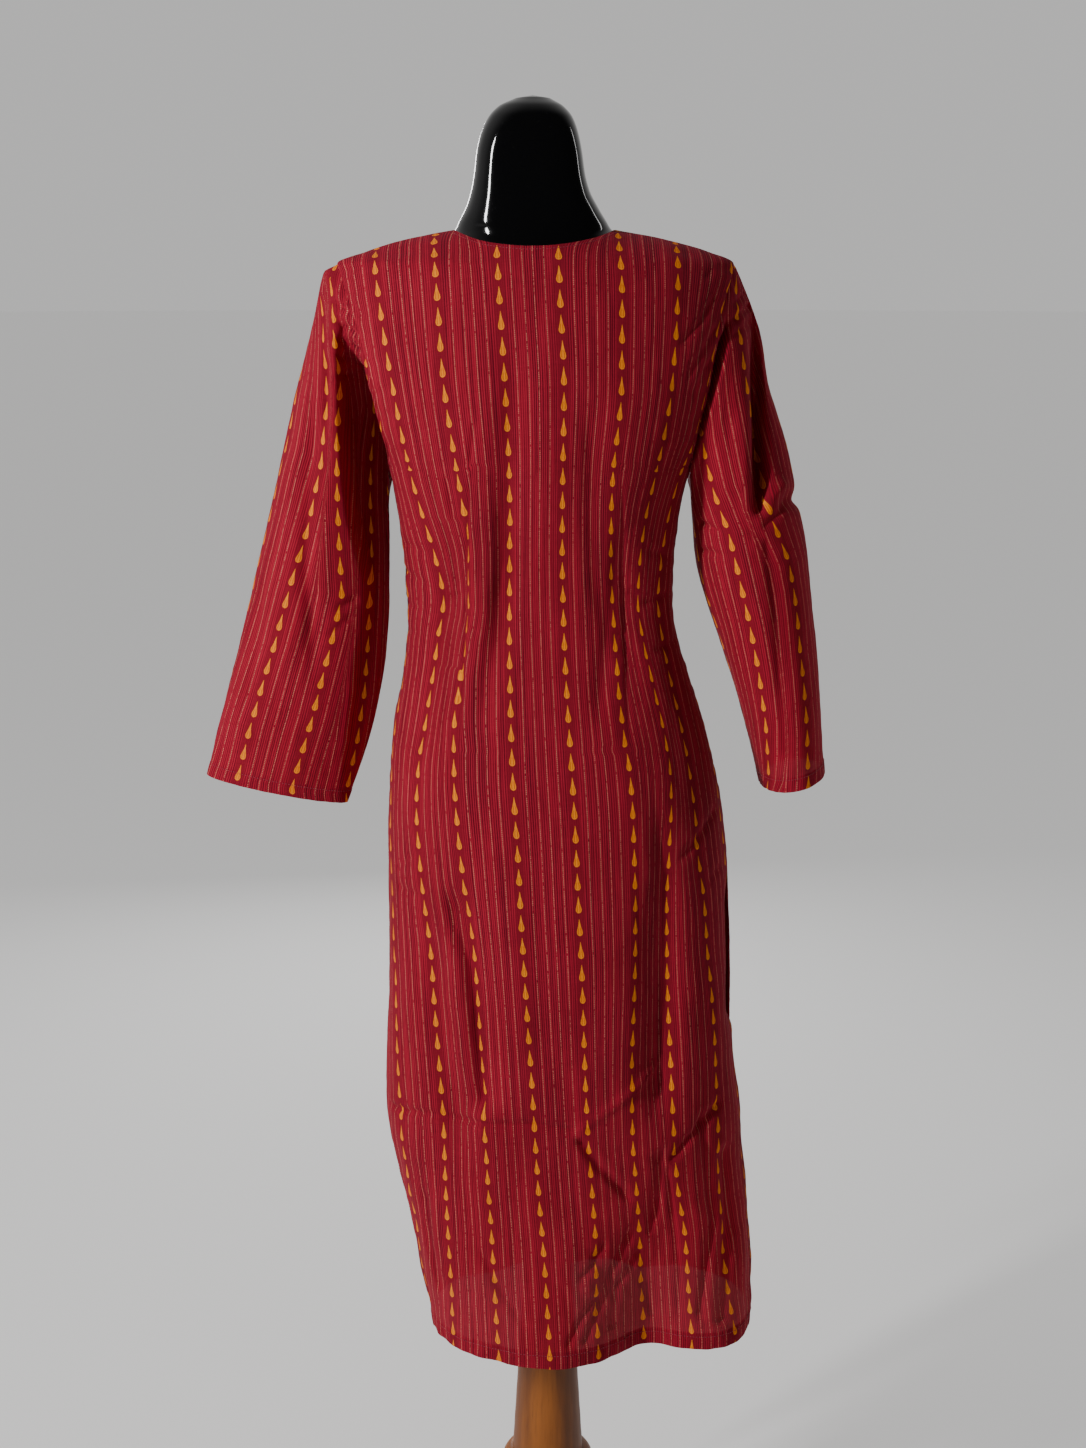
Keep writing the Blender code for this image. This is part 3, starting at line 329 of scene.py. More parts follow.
FormSection = namedtuple("FormSection", "z middle half back front back_round front_round")
FORM = table_of(
    FormSection,
    (0.550, -0.004, 0.118, 0.084, 0.074, 2.4, 2.4),
    (0.556, -0.004, 0.126, 0.090, 0.080, 2.4, 2.4),
    (0.600, -0.004, 0.138, 0.096, 0.084, 2.4, 2.4),
    (0.700, -0.004, 0.149, 0.102, 0.088, 2.4, 2.4),
    (0.800, -0.004, 0.155, 0.107, 0.092, 2.4, 2.4),
    (0.880, -0.004, 0.157, 0.109, 0.096, 2.4, 2.4),
    (0.934, -0.003, 0.153, 0.106, 0.098, 2.4, 2.4),
    (1.008, 0.000, 0.142, 0.092, 0.092, 2.4, 2.4),
    (1.057, 0.003, 0.131, 0.079, 0.084, 2.4, 2.4),
    (1.111, 0.007, 0.121, 0.069, 0.079, 2.4, 2.4),
    (1.137, 0.008, 0.120, 0.068, 0.081, 2.4, 2.4),
    (1.170, 0.008, 0.122, 0.072, 0.091, 2.4, 2.5),
    (1.226, 0.009, 0.128, 0.083, 0.114, 2.3, 2.6),
    (1.262, 0.008, 0.134, 0.089, 0.119, 2.3, 2.6),
    (1.300, 0.008, 0.142, 0.094, 0.113, 2.3, 2.4),
    (1.350, 0.008, 0.153, 0.097, 0.102, 2.3, 2.3),
    (1.400, 0.008, 0.166, 0.092, 0.087, 2.1, 2.1),
    (1.430, 0.008, 0.174, 0.083, 0.076, 1.9, 1.9),
    (1.4465, 0.008, 0.176, 0.075, 0.067, 1.7, 1.7),
    (1.4575, 0.010, 0.158, 0.068, 0.060, 1.55, 1.55),
    (1.4655, 0.0115, 0.128, 0.0600, 0.055, 1.50, 1.50),
    (1.4725, 0.0125, 0.090, 0.0560, 0.051, 1.80, 1.70),
    (1.4800, 0.0137, 0.0735, 0.0530, 0.0495, 2.15, 2.00),
    (1.4885, 0.0145, 0.0685, 0.0512, 0.0490, 2.50, 2.20),
    (1.500, 0.0150, 0.0618, 0.0492, 0.049, 2.90, 2.30),
    (1.515, 0.0165, 0.0552, 0.0470, 0.048, 3.20, 2.30),
    (1.530, 0.0172, 0.0515, 0.0450, 0.047, 3.40, 2.30),
    (1.550, 0.0175, 0.0488, 0.0440, 0.046, 3.40, 2.30),
    (1.566, 0.0172, 0.0452, 0.0420, 0.044, 3.20, 2.30),
    (1.5806, 0.0165, 0.0392, 0.0365, 0.038, 2.90, 2.30),
    (1.591, 0.0160, 0.0300, 0.0280, 0.029, 2.50, 2.20),
    (1.598, 0.0145, 0.0165, 0.0155, 0.016, 2.10, 2.10),
)
FORM_TOP_Z = 1.601

# Print, in metres on the flat cloth

STRIPE_PITCH = 0.0552  # from one stripe of drops to the next
DROP_PITCH = 0.0228  # from one drop to the next down a stripe
PIN_PITCH = 0.00212  # from one fine red line to the next
DASH_PITCH = 0.00185  # from one dash to the next down a dashed line

# Where each stripe of drops runs on the back, counted in stripes from the middle of the back.
Stripes = namedtuple("Stripes", "z minus_2h minus_1h minus_h plus_h plus_1h plus_2h plus_3h")
BACK_STRIPES = table_of(
    Stripes,
    (1.460, 0.1600, 0.1052, 0.0465, -0.0086, -0.0641, -0.1180, -0.170),
    (1.420, 0.1543, 0.1007, 0.0438, -0.0103, -0.0661, -0.1168, -0.167),
    (1.340, 0.1420, 0.0946, 0.0391, -0.0139, -0.0659, -0.1123, -0.155),
    (1.260, 0.1275, 0.0831, 0.0366, -0.0130, -0.0590, -0.0990, -0.124),
    (1.220, 0.1167, 0.0773, 0.0368, -0.0127, -0.0578, -0.0906, -0.113),
    (1.180, 0.1052, 0.0733, 0.0374, -0.0129, -0.0590, -0.0860, -0.106),
    (1.140, 0.0985, 0.0735, 0.0374, -0.0138, -0.0618, -0.0848, -0.103),
    (1.100, 0.1047, 0.0787, 0.0369, -0.0151, -0.0640, -0.0903, -0.1081),
    (1.060, 0.1100, 0.0855, 0.0358, -0.0171, -0.0662, -0.0995, -0.1164),
    (1.020, 0.1168, 0.0893, 0.0349, -0.0197, -0.0710, -0.1090, -0.1255),
    (0.980, 0.1235, 0.0893, 0.0334, -0.0223, -0.0770, -0.1155, -0.1335),
    (0.940, 0.1252, 0.0866, 0.0309, -0.0248, -0.0801, -0.1172, -0.1391),
    (0.900, 0.1235, 0.0829, 0.0284, -0.0267, -0.0817, -0.1170, -0.1430),
    (0.850, 0.1193, 0.0786, 0.0262, -0.0290, -0.0829, -0.1150, -0.1503),
    (0.800, 0.1139, 0.0739, 0.0235, -0.0317, -0.0833, -0.1154, -0.1545),
    (0.740, 0.1105, 0.0695, 0.0200, -0.0339, -0.0820, -0.1174, -0.1610),
    (0.680, 0.1062, 0.0663, 0.0161, -0.0360, -0.0810, -0.1205, -0.1655),
    (0.620, 0.1025, 0.0617, 0.0129, -0.0391, -0.0825, -0.1232, -0.1685),
    (0.560, 0.1011, 0.0588, 0.0093, -0.0434, -0.0870, -0.1280, -0.1720),
    (0.500, 0.0991, 0.0554, 0.0048, -0.0472, -0.0913, -0.1374, -0.1780),
    (0.440, 0.0973, 0.0528, 0.0010, -0.0484, -0.0948, -0.1423, -0.1840),
    (0.380, 0.0955, 0.0496, -0.0020, -0.0500, -0.0983, -0.1472, -0.1900),
)
STRIPE_NUMBERS = (-2.5, -1.5, -0.5, 0.5, 1.5, 2.5, 3.5)
# Half the width over which the print jumps at a dart, and at a fold between a sleeve's stripes.
DART_HALF, FOLD_HALF = 0.0012, 0.0010

# Waist darts: the line of each, and how much cloth it takes at its widest.
Dart = namedtuple("Dart", "x_top z_top x_low z_low taken")
BACK_DARTS = table_of(
    Dart,
    (0.071, 1.272, 0.083, 1.000, 0.016),
    (-0.067, 1.272, -0.077, 1.000, 0.013),
)
FRONT_DARTS = table_of(
    Dart,
    (0.083, 1.195, 0.092, 0.985, 0.014),
    (-0.066, 1.195, -0.082, 0.985, 0.014),
)

# Where the stripes of drops run down the backs of the sleeves, as (height, x) for each stripe.
LEFT_SLEEVE_STRIPES = (
    (0.5, ((0.950, 0.3070), (0.970, 0.3004), (1.013, 0.2883), (1.056, 0.2744), (1.096, 0.2607),
           (1.139, 0.2480),
           (1.181, 0.2354), (1.225, 0.2229), (1.270, 0.2114), (1.327, 0.2062), (1.377, 0.2087))),
    (1.5, ((0.951, 0.2504), (0.978, 0.2419), (1.021, 0.2281), (1.063, 0.2165), (1.104, 0.2050),
           (1.144, 0.1955),
           (1.164, 0.1959), (1.229, 0.1972), (1.290, 0.1967), (1.341, 0.1946), (1.377, 0.1983))),
    (2.5, ((0.940, 0.2002), (0.963, 0.1947), (0.995, 0.1871), (1.016, 0.1837), (1.043, 0.1792),
           (1.093, 0.1753),
           (1.137, 0.1725), (1.186, 0.1705), (1.229, 0.1716), (1.265, 0.1709), (1.305, 0.1672))),
)
RIGHT_SLEEVE_STRIPES = (
    (0.5, ((0.955, -0.2515), (0.972, -0.2510), (1.010, -0.2489), (1.067, -0.2433), (1.123, -0.2368),
           (1.147, -0.2333),
           (1.174, -0.2278), (1.187, -0.2226), (1.209, -0.2126), (1.230, -0.2054), (1.252, -0.2030),
           (1.280, -0.1966),
           (1.319, -0.1891), (1.344, -0.1838), (1.363, -0.1806), (1.386, -0.1782), (1.426, -0.1746))),
    (1.5, ((0.957, -0.2162), (0.975, -0.2147), (1.021, -0.2097), (1.068, -0.2018), (1.115, -0.1920),
           (1.161, -0.1805),
           (1.203, -0.1702), (1.240, -0.1562), (1.277, -0.1462), (1.308, -0.1409))),
)

# Points across and down the pieces of cloth.
BACK_COLUMNS, FRONT_COLUMNS, NECK_COLUMNS = 236, 200, 88
SKIRT_ROWS, BODICE_ROWS, YOKE_ROWS = 150, 106, 84
CAP_RINGS, SLEEVE_RINGS = 72, 132
DENSE = 600

# Stand, from the top of each turned piece down.
Turning = namedtuple("Turning", "z radius")
FLANGE_SHAPE = table_of(Turning, (0.5497, 0.0470), (0.5487, 0.0480), (0.5387, 0.0480), (0.5377, 0.0470))
COLUMN_SHAPE = table_of(
    Turning,
    (0.5370, 0.0215),
    (0.4900, 0.0225),
    (0.4300, 0.0245),
    (0.3600, 0.0280),
    (0.3000, 0.0318),
    (0.2550, 0.0345),
    (0.2053, 0.0375),
)
COLLAR_SHAPE = table_of(
    Turning,
    (0.2050, 0.0400),
    (0.2020, 0.0440),
    (0.1950, 0.0480),
    (0.1870, 0.0490),
    (0.1790, 0.0470),
    (0.1720, 0.0420),
    (0.1680, 0.0400),
    (0.1603, 0.0400),
)
BASE_SHAPE = table_of(
    Turning,
    (0.1600, 0.0400),
    (0.1400, 0.0390),
    (0.1150, 0.0420),
    (0.0880, 0.0500),
    (0.0660, 0.0640),
    (0.0520, 0.0860),
    (0.0430, 0.1200),
    (0.0370, 0.1540),
    (0.0310, 0.1660),
    (0.0220, 0.1720),
    (0.0040, 0.1720),
    (0.0000, 0.1680),
)


# Shapes


def eased(at, table, column):
    """A column of a table, at a place in its first column, by a curve that never overshoots its rows."""
    knots = np.array([row[0] for row in table])
    values = np.array([getattr(row, column) for row in table])
    if knots[0] > knots[-1]:
        knots, values = knots[::-1], values[::-1]
    step = np.diff(knots)
    rise = np.diff(values) / step
    slope = np.zeros(len(knots))
    slope[0], slope[-1] = rise[0], rise[-1]
    same_way = rise[:-1] * rise[1:] > 0
    both = np.where(same_way, rise[:-1] + rise[1:], 1.0)
    slope[1:-1] = np.where(same_way, 2 * rise[:-1] * rise[1:] / both, 0.0)
    at = np.clip(at, knots[0], knots[-1])
    i = np.clip(np.searchsorted(knots, at) - 1, 0, len(step) - 1)
    t = (at - knots[i]) / step[i]
    start = values[i] * (1 + 2 * t) * (1 - t) ** 2 + slope[i] * step[i] * t * (1 - t) ** 2
    end = values[i + 1] * t * t * (3 - 2 * t) - slope[i + 1] * step[i] * t * t * (1 - t)
    return start + end


def hump(away, width):
    """1 where away is 0, and close to 0 from twice the width on."""
    return np.exp(-((away / width) ** 2))


def smooth(t):
    t = np.clip(t, 0.0, 1.0)
    return t * t * (3 - 2 * t)


def unit(vectors):
    return vectors / np.maximum(np.linalg.norm(vectors, axis=-1, keepdims=True), 1e-12)


def middle(z):
    return (eased(z, GARMENT, "left") + eased(z, GARMENT, "right")) / 2


def half_width(z):
    return (eased(z, GARMENT, "left") - eased(z, GARMENT, "right")) / 2


def lengths_along(curve):
    return np.concatenate([[0.0], np.cumsum(np.linalg.norm(np.diff(curve, axis=0), axis=1))])


def even_points(curve, count):
    length = lengths_along(curve)
    at = np.linspace(0.0, length[-1], count + 1)
    return np.stack([np.interp(at, length, curve[:, k]) for k in range(3)], axis=1)


def fold_push(x, z, folds):
    push = np.zeros_like(x)
    for fold in folds:
        down = (fold.z_top - z) / (fold.z_top - fold.z_low)
        line = fold.x_top + (fold.x_low - fold.x_top) * np.clip(down, 0.0, 1.0)
        fade = 1.0
        if fold.fade_top:
            fade = fade * smooth((fold.z_top - z) / fold.fade_top)
        if fold.fade_low:
            fade = fade * smooth((z - fold.z_low) / fold.fade_low)
        push = push + fold.depth * fade * hump(x - line, fold.width)
    return push


def slit_opening(z):
    return 0.026 * np.clip((SLIT_TOP_Z - z) / (SLIT_TOP_Z - HEM_Z), 0.0, 1.0) ** 1.2


def skirt_row(z, side, columns):
    """A level row of a panel, from the right side line to the left. side is 1 at the back."""
    folds = BACK_FOLDS if side > 0 else FRONT_FOLDS
    angle = np.linspace(np.pi, 0.0, DENSE)
    name = "back" if side > 0 else "front"
    power = 2 / eased(z, GARMENT, name + "_round")
    x = middle(z) + half_width(z) * np.sign(np.cos(angle)) * np.abs(np.cos(angle)) ** power
    y = side * eased(z, GARMENT, name) * np.abs(np.sin(angle)) ** power
    keep = np.abs(y) >= slit_opening(z)
    x, y = x[keep], y[keep]
    along = unit(np.stack([np.gradient(x), np.gradient(y)], axis=1))
    outward = np.stack([-along[:, 1], along[:, 0]], axis=1) * side
    push = fold_push(x, z, folds) * np.minimum(np.abs(y) / 0.03, 1.0)
    x, y = x - outward[:, 0] * push, y - outward[:, 1] * push
    return even_points(np.stack([x, y, np.full_like(x, z)], axis=1), columns)


def ridge_z(x):
    """Height of the shoulder line at x."""
    z = np.linspace(TIP_Z, NECK_POINT_Z, DENSE)
    left, right = eased(z, GARMENT, "left"), eased(z, GARMENT, "right")
    on_left = np.interp(x, left[::-1], z[::-1])
    return np.where(x > middle(NECK_POINT_Z), on_left, np.interp(x, right, z))


def top_z(x, side):
    """Height of a panel's top edge at x: the shoulder seam, and the neckline between the neck points."""
    low = BACK_NECK_Z if side > 0 else FRONT_NECK_Z
    curve = BACK_NECK_CURVE if side > 0 else FRONT_NECK_CURVE
    share = np.abs(x - middle(NECK_POINT_Z)) / half_width(NECK_POINT_Z)
    neck = low + (NECK_POINT_Z - low) * np.minimum(share, 1.0) ** curve
    return np.where(share < 1.0, neck, ridge_z(x))


def surface_y(x, z, side):
    name = "back" if side > 0 else "front"
    power = eased(z, GARMENT, name + "_round")
    share = np.clip(np.abs(x - middle(z)) / half_width(z), 0.0, 1.0)
    return side * eased(z, GARMENT, name) * (1 - share**power) ** (1 / power)


def yoke_row(up, side, columns):
    """A row between the underarm level, up 0, and the shoulder seams and neckline, up 1."""
    edge_z = UNDERARM_Z + (TIP_Z - UNDERARM_Z) * up
    reach = eased(edge_z, ARMHOLE, "reach")
    x = middle(edge_z) + reach * np.cos(np.linspace(np.pi, 0.0, DENSE))
    z = UNDERARM_Z + (top_z(x, side) - UNDERARM_Z) * up
    push = fold_push(x, z, BACK_FOLDS if side > 0 else FRONT_FOLDS)
    row = np.stack([x, surface_y(x, z, side) - side * push * (1 - up), z], axis=1)
    shoulder_columns = (columns - NECK_COLUMNS) // 2
    share = lengths_along(row)
    share /= share[-1]
    neck_left = middle(NECK_POINT_Z) + half_width(NECK_POINT_Z)
    neck_right = middle(NECK_POINT_Z) - half_width(NECK_POINT_Z)
    even = shoulder_columns / columns
    blend = up**1.5
    right_break = (1 - blend) * even + blend * np.interp(neck_right, x, share)
    left_break = (1 - blend) * (1 - even) + blend * np.interp(neck_left, x, share)
    at = np.concatenate(
        [
            np.linspace(0.0, right_break, shoulder_columns + 1)[:-1],
            np.linspace(right_break, left_break, NECK_COLUMNS + 1),
            np.linspace(left_break, 1.0, shoulder_columns + 1)[1:],
        ]
    )
    return np.stack([np.interp(at, share, row[:, k]) for k in range(3)], axis=1)


def panel_points(side, columns):
    """The panel's points, row by row from the hem up to the shoulder seams."""
    skirt = np.linspace(HEM_Z, SLIT_TOP_Z, SKIRT_ROWS)
    bodice = np.linspace(SLIT_TOP_Z, UNDERARM_Z, BODICE_ROWS + 1)[1:]
    rows = [skirt_row(z, side, columns) for z in np.concatenate([skirt, bodice])]
    rise = 1 - (1 - np.linspace(0.0, 1.0, YOKE_ROWS + 1)[1:]) ** 1.5
    rows += [yoke_row(up, side, columns) for up in rise]
    return np.array(rows)


UNDERARM_ROW = SKIRT_ROWS + BODICE_ROWS - 1


def grid_normals(points, closed, centres):
    """Unit normals of a grid of points, away from the centres. The columns wrap round where it is closed."""
    if closed:
        across = np.roll(points, -1, axis=1) - np.roll(points, 1, axis=1)
    else:
        across = np.gradient(points, axis=1)
    normals = unit(np.cross(across, np.gradient(points, axis=0)))
    return normals if ((points - centres) * normals).sum() > 0 else -normals


def body_axis(points):
    level = points[..., 2]
    return np.stack([middle(level), np.zeros_like(level), level], axis=-1)


def free_ring(share, table, turns):
    out = np.array([eased(share, table, "out_x"), 0.0, eased(share, table, "out_z")])
    inn = np.array([eased(share, table, "in_x"), 0.0, eased(share, table, "in_z")])
    angle = 2 * np.pi * turns[:, None]
    centre = (out + inn) / 2 + np.array([0.0, eased(share, table, "y"), 0.0])
    depth = eased(share, table, "half_depth")
    return centre + (out - inn) / 2 * np.cos(angle) + np.array([0.0, depth, 0.0]) * np.sin(angle)


def sleeve_points(loop, table, trough, sign):
    """Rings from the armhole, loop, to the cuff."""
    turns = np.arange(len(loop)) / len(loop)
    biceps = free_ring(0.0, table, turns)
    below = free_ring(0.04, table, turns)
    fall = smooth((loop[0, 2] - loop[:, 2]) / (loop[0, 2] - UNDERARM_Z))[:, None]
    leave = unit((1 - fall) * np.array([0.42 * sign, 0.0, -0.91]) + fall * np.array([0.07 * sign, 0.0, -1.0]))
    reach = np.linalg.norm(biceps - loop, axis=1)[:, None] * 0.36
    first, second = loop + leave * reach, biceps - unit(below - biceps) * reach
    rings = []
    for t in np.linspace(0.0, 1.0, CAP_RINGS + 1)[:-1]:
        early = loop * (1 - t) ** 3 + first * 3 * t * (1 - t) ** 2
        rings.append(early + second * 3 * t * t * (1 - t) + biceps * t**3)
    rings += [free_ring(share, table, turns) for share in np.linspace(0.0, 1.0, SLEEVE_RINGS)]
    points = np.array(rings)
    down = ring_shares()[:, None]
    normals = grid_normals(points, True, points.mean(axis=1, keepdims=True))
    away = np.abs(turns[None, :] - eased(down, trough, "turn"))
    sunk = hump(np.minimum(away, 1 - away), eased(down, trough, "width"))
    return points - normals * (eased(down, trough, "depth") * sunk)[..., None]


def ring_shares():
    """How far down the sleeve each ring lies, counted as the solids' own rings are."""
    cap = np.linspace(0.0, 6.0, CAP_RINGS + 1)[:-1]
    return np.concatenate([cap, np.linspace(6.0, 15.0, SLEEVE_RINGS)]) / 15.0


# Making pieces


def mesh_object(name, mesh):
    mesh.shade_smooth()
    made = bpy.data.objects.new(name, mesh)
    bpy.context.scene.collection.objects.link(made)
    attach(made, "root")
    return made


def cloth_object(name, points, uv, closed):
    """A one-layer sheet from a grid of points with its flat-cloth coordinates."""
    rows, columns = points.shape[:2]
    r, c = np.meshgrid(np.arange(rows - 1), np.arange(columns if closed else columns - 1), indexing="ij")
    r, c = r.ravel(), c.ravel()
    d = (c + 1) % columns
    here, above = r * columns, (r + 1) * columns
    corners = np.stack([here + c, here + d, above + d, above + c], axis=1)
    mesh = bpy.data.meshes.new(name)
    mesh.from_pydata(points.reshape(-1, 3).tolist(), [], corners.tolist())
    layer = mesh.uv_layers.new(name="cloth")
    right = (c + 1) if closed else d
    stride = uv.shape[1]
    here, above = r * stride, (r + 1) * stride
    at = np.stack([here + c, here + right, above + right, above + c], axis=1)
    layer.data.foreach_set("uv", uv.reshape(-1, 2)[at.ravel()].ravel().astype(np.float32))
    return mesh_object(name, mesh)


def plain_object(name, points, faces):
    mesh = bpy.data.meshes.new(name)
    mesh.from_pydata([tuple(p) for p in points], [], faces)
    shape = bmesh.new()
    shape.from_mesh(mesh)
    bmesh.ops.recalc_face_normals(shape, faces=shape.faces)
    shape.to_mesh(mesh)
    shape.free()
    return mesh_object(name, mesh)


def loft_object(name, rings, cap_low, cap_high):
    """A closed solid through level rings of equal counts."""
    count = len(rings[0])
    points = np.concatenate(rings)
    faces = []
    for r in range(len(rings) - 1):
        for c in range(count):
            a, b = r * count + c, r * count + (c + 1) % count
            faces.append((a, b, b + count, a + count))
    points = np.vstack([points, cap_low, cap_high])
    low, high, last = len(points) - 2, len(points) - 1, (len(rings) - 1) * count
    for c in range(count):
        d = (c + 1) % count
        faces.append((low, d, c))
        faces.append((last + c, last + d, high))
    return plain_object(name, points, faces)


# Where the form's shoulders begin, and where its top starts to close.
SHOULDER_Z, CROWN_Z = 1.44, 1.566


def form_piece():
    """The dress form, finer than its solid."""
    count, rings = 144, []
    angle = 2 * np.pi * np.arange(count) / count
    heights = np.concatenate(
        [
            np.linspace(FORM[0].z, FORM[1].z, 4)[:-1],
            np.linspace(FORM[1].z, SHOULDER_Z, 110)[:-1],
            np.linspace(SHOULDER_Z, CROWN_Z, 70)[:-1],
            CROWN_Z + (FORM[-1].z - CROWN_Z) * np.sin(np.linspace(0.0, np.pi / 2, 26)),
        ]
    )
    for z in heights:
        back = np.sin(angle) >= 0
        power = 2 / np.where(back, eased(z, FORM, "back_round"), eased(z, FORM, "front_round"))
        depth = np.where(back, eased(z, FORM, "back"), eased(z, FORM, "front"))
        across = np.sign(np.cos(angle)) * np.abs(np.cos(angle)) ** power
        x = eased(z, FORM, "middle") + eased(z, FORM, "half") * across
        y = depth * np.sign(np.sin(angle)) * np.abs(np.sin(angle)) ** power
        rings.append(np.stack([x, y, np.full(count, z)], axis=1))
    top = eased(FORM[-1].z, FORM, "middle")
    made = loft_object("polished_form", rings, (top, 0.0, FORM[0].z), (top, 0.0, FORM_TOP_Z))
    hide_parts("dress_form")
    return made


def numbers_along(length, spans, way):
    """Stripe numbers along a row from (length, number) pairs, and at full pitch past the last pairs.
    way is 1 where the numbers grow with the length and -1 where they fall."""
    at, number = np.array(spans).T
    found = np.interp(length, at, number)
    before, after = length < at[0], length > at[-1]
    found[before] = number[0] - way * (at[0] - length[before]) / STRIPE_PITCH
    found[after] = number[-1] + way * (length[after] - at[-1]) / STRIPE_PITCH
    return found


def print_across_back(points):
    """Stripe numbers over the back, from the table of where each stripe runs."""
    numbers = np.zeros(points.shape[:2])
    for r, row in enumerate(points):
        z = row[:, 2].mean()
        runs = [eased(z, BACK_STRIPES, column) for column in Stripes._fields[1:]]
        number_at = dict(zip(runs, STRIPE_NUMBERS))
        knots = sorted(number_at)
        length = lengths_along(row)
        length_at = [np.interp(k, row[:, 0], length) for k in knots]
        spans = list(zip(length_at, [number_at[k] for k in knots]))
        for dart in BACK_DARTS:
            down = (dart.z_top - z) / (dart.z_top - dart.z_low)
            if 0.0 < down < 1.0:
                at = np.interp(dart.x_top + (dart.x_low - dart.x_top) * down, row[:, 0], length)
                number = np.interp(at, [s[0] for s in spans], [s[1] for s in spans])
                half = dart.taken * np.sin(np.pi * down) / STRIPE_PITCH / 2
                spans = [s for s in spans if abs(s[0] - at) > 0.004]
                spans += [(at - DART_HALF, number + half), (at + DART_HALF, number - half)]
                spans.sort()
        numbers[r] = numbers_along(length, spans, -1)
    return numbers


def print_across_front(points):
    """Stripe numbers over the front, counted along the cloth from its middle and past the darts."""
    numbers = np.zeros(points.shape[:2])
    for r, row in enumerate(points):
        z = row[:, 2].mean()
        length = lengths_along(row)
        number = (np.interp(middle(z) * 0.6 + 0.005, row[:, 0], length) - length) / STRIPE_PITCH
        for dart in FRONT_DARTS:
            down = (dart.z_top - z) / (dart.z_top - dart.z_low)
            if 0.0 < down < 1.0:
                line = np.interp(dart.x_top + (dart.x_low - dart.x_top) * down, row[:, 0], length)
                taken = dart.taken * np.sin(np.pi * down) / STRIPE_PITCH
                side = np.sign(dart.x_top)
                number = number - side * taken * smooth(side * (length - line) / (2 * DART_HALF) + 0.5)
        numbers[r] = number
    return numbers


def crease_depth(x, z, creases):
    """How deep the points lie in the creases. Left and right are as the wearer has them."""
    depth = np.zeros_like(x)
    for crease in creases:
        line = np.array(crease.line)
        reach = 3 * max(crease.left, crease.right)
        low, high = line.min(axis=0) - reach, line.max(axis=0) + reach
        near = (x > low[0]) & (x < high[0]) & (z > low[1]) & (z < high[1])
        px, pz = x[near], z[near]
        legs = np.linalg.norm(np.diff(line, axis=0), axis=1)
        nearest, width, along = np.full_like(px, 9.0), np.ones_like(px), np.zeros_like(px)
        for k, leg in enumerate(legs):
            run = (line[k + 1] - line[k]) / leg
            dx, dz = px - line[k, 0], pz - line[k, 1]
            t = np.clip(dx * run[0] + dz * run[1], 0.0, leg)
            away = np.hypot(dx - run[0] * t, dz - run[1] * t)
            closer = away < nearest
            on_left = run[0] * dz - run[1] * dx > 0
            nearest = np.where(closer, away, nearest)
            width = np.where(closer, np.where(on_left, crease.left, crease.right), width)
            along = np.where(closer, legs[:k].sum() + t, along)
        fade = smooth(along / crease.fade_top) * smooth((legs.sum() - along) / crease.fade_low)
        depth[near] += crease.depth * fade * np.exp(-((nearest / width) ** 1.7))
    return depth


def crumple(across, along, size, seed):
    """Soft uneven bumps between -1 and 1 over the cloth, about size metres apart."""
    at = np.stack([across.ravel() / size, along.ravel() / size, np.full(across.size, seed)], axis=1)
    return np.array([noise.noise(p) for p in at.tolist()]).reshape(across.shape)


def seam_distance(points):
    """How far each point of a panel lies from its sewn edges: sides, armholes and shoulders."""
    from_right = lengths_across(points)
    near = np.minimum(from_right, from_right[:, -1:] - from_right)
    near = np.hypot(near, np.maximum(SLIT_TOP_Z - points[..., 2], 0.0))
    on_neck = np.abs(points[-1, :, 0] - middle(NECK_POINT_Z)) < half_width(NECK_POINT_Z) - 0.001
    from_top = np.where(on_neck, 9.0, np.abs(lengths_down(points, -1)))
    return np.minimum(near, from_top)


def lengths_across(points):
    steps = np.linalg.norm(np.diff(points, axis=1), axis=2)
    return np.concatenate([np.zeros((len(points), 1)), np.cumsum(steps, axis=1)], axis=1)


def lengths_down(points, from_row):
    """How far each point lies along its column from from_row, along the cloth."""
    steps = np.linalg.norm(np.diff(points, axis=0), axis=2)
    length = np.concatenate([np.zeros((1, points.shape[1])), np.cumsum(steps, axis=0)])
    return length - length[from_row]


def keep_clear(points, normals, push, body, least):
    """The points moved along their normals, but no nearer than least to the body."""
    flat_points, flat_push = points.reshape(-1, 3), push.reshape(-1).copy()
    for k in np.nonzero(flat_push < -0.0002)[0]:
        near = body.find_nearest(Vector(flat_points[k]), 0.03)
        if near[0] is not None:
            flat_push[k] = max(flat_push[k], min(0.0, least - near[3]))
    return points + normals * flat_push.reshape(push.shape)[..., None]


def held_at_seam(push, from_seam):
    """Cloth held flat at its seam, with a small roll up beside it."""
    return push * smooth(from_seam / SEAM_FLAT) + SEAM_STEP * smooth(from_seam / SEAM_ROLL)


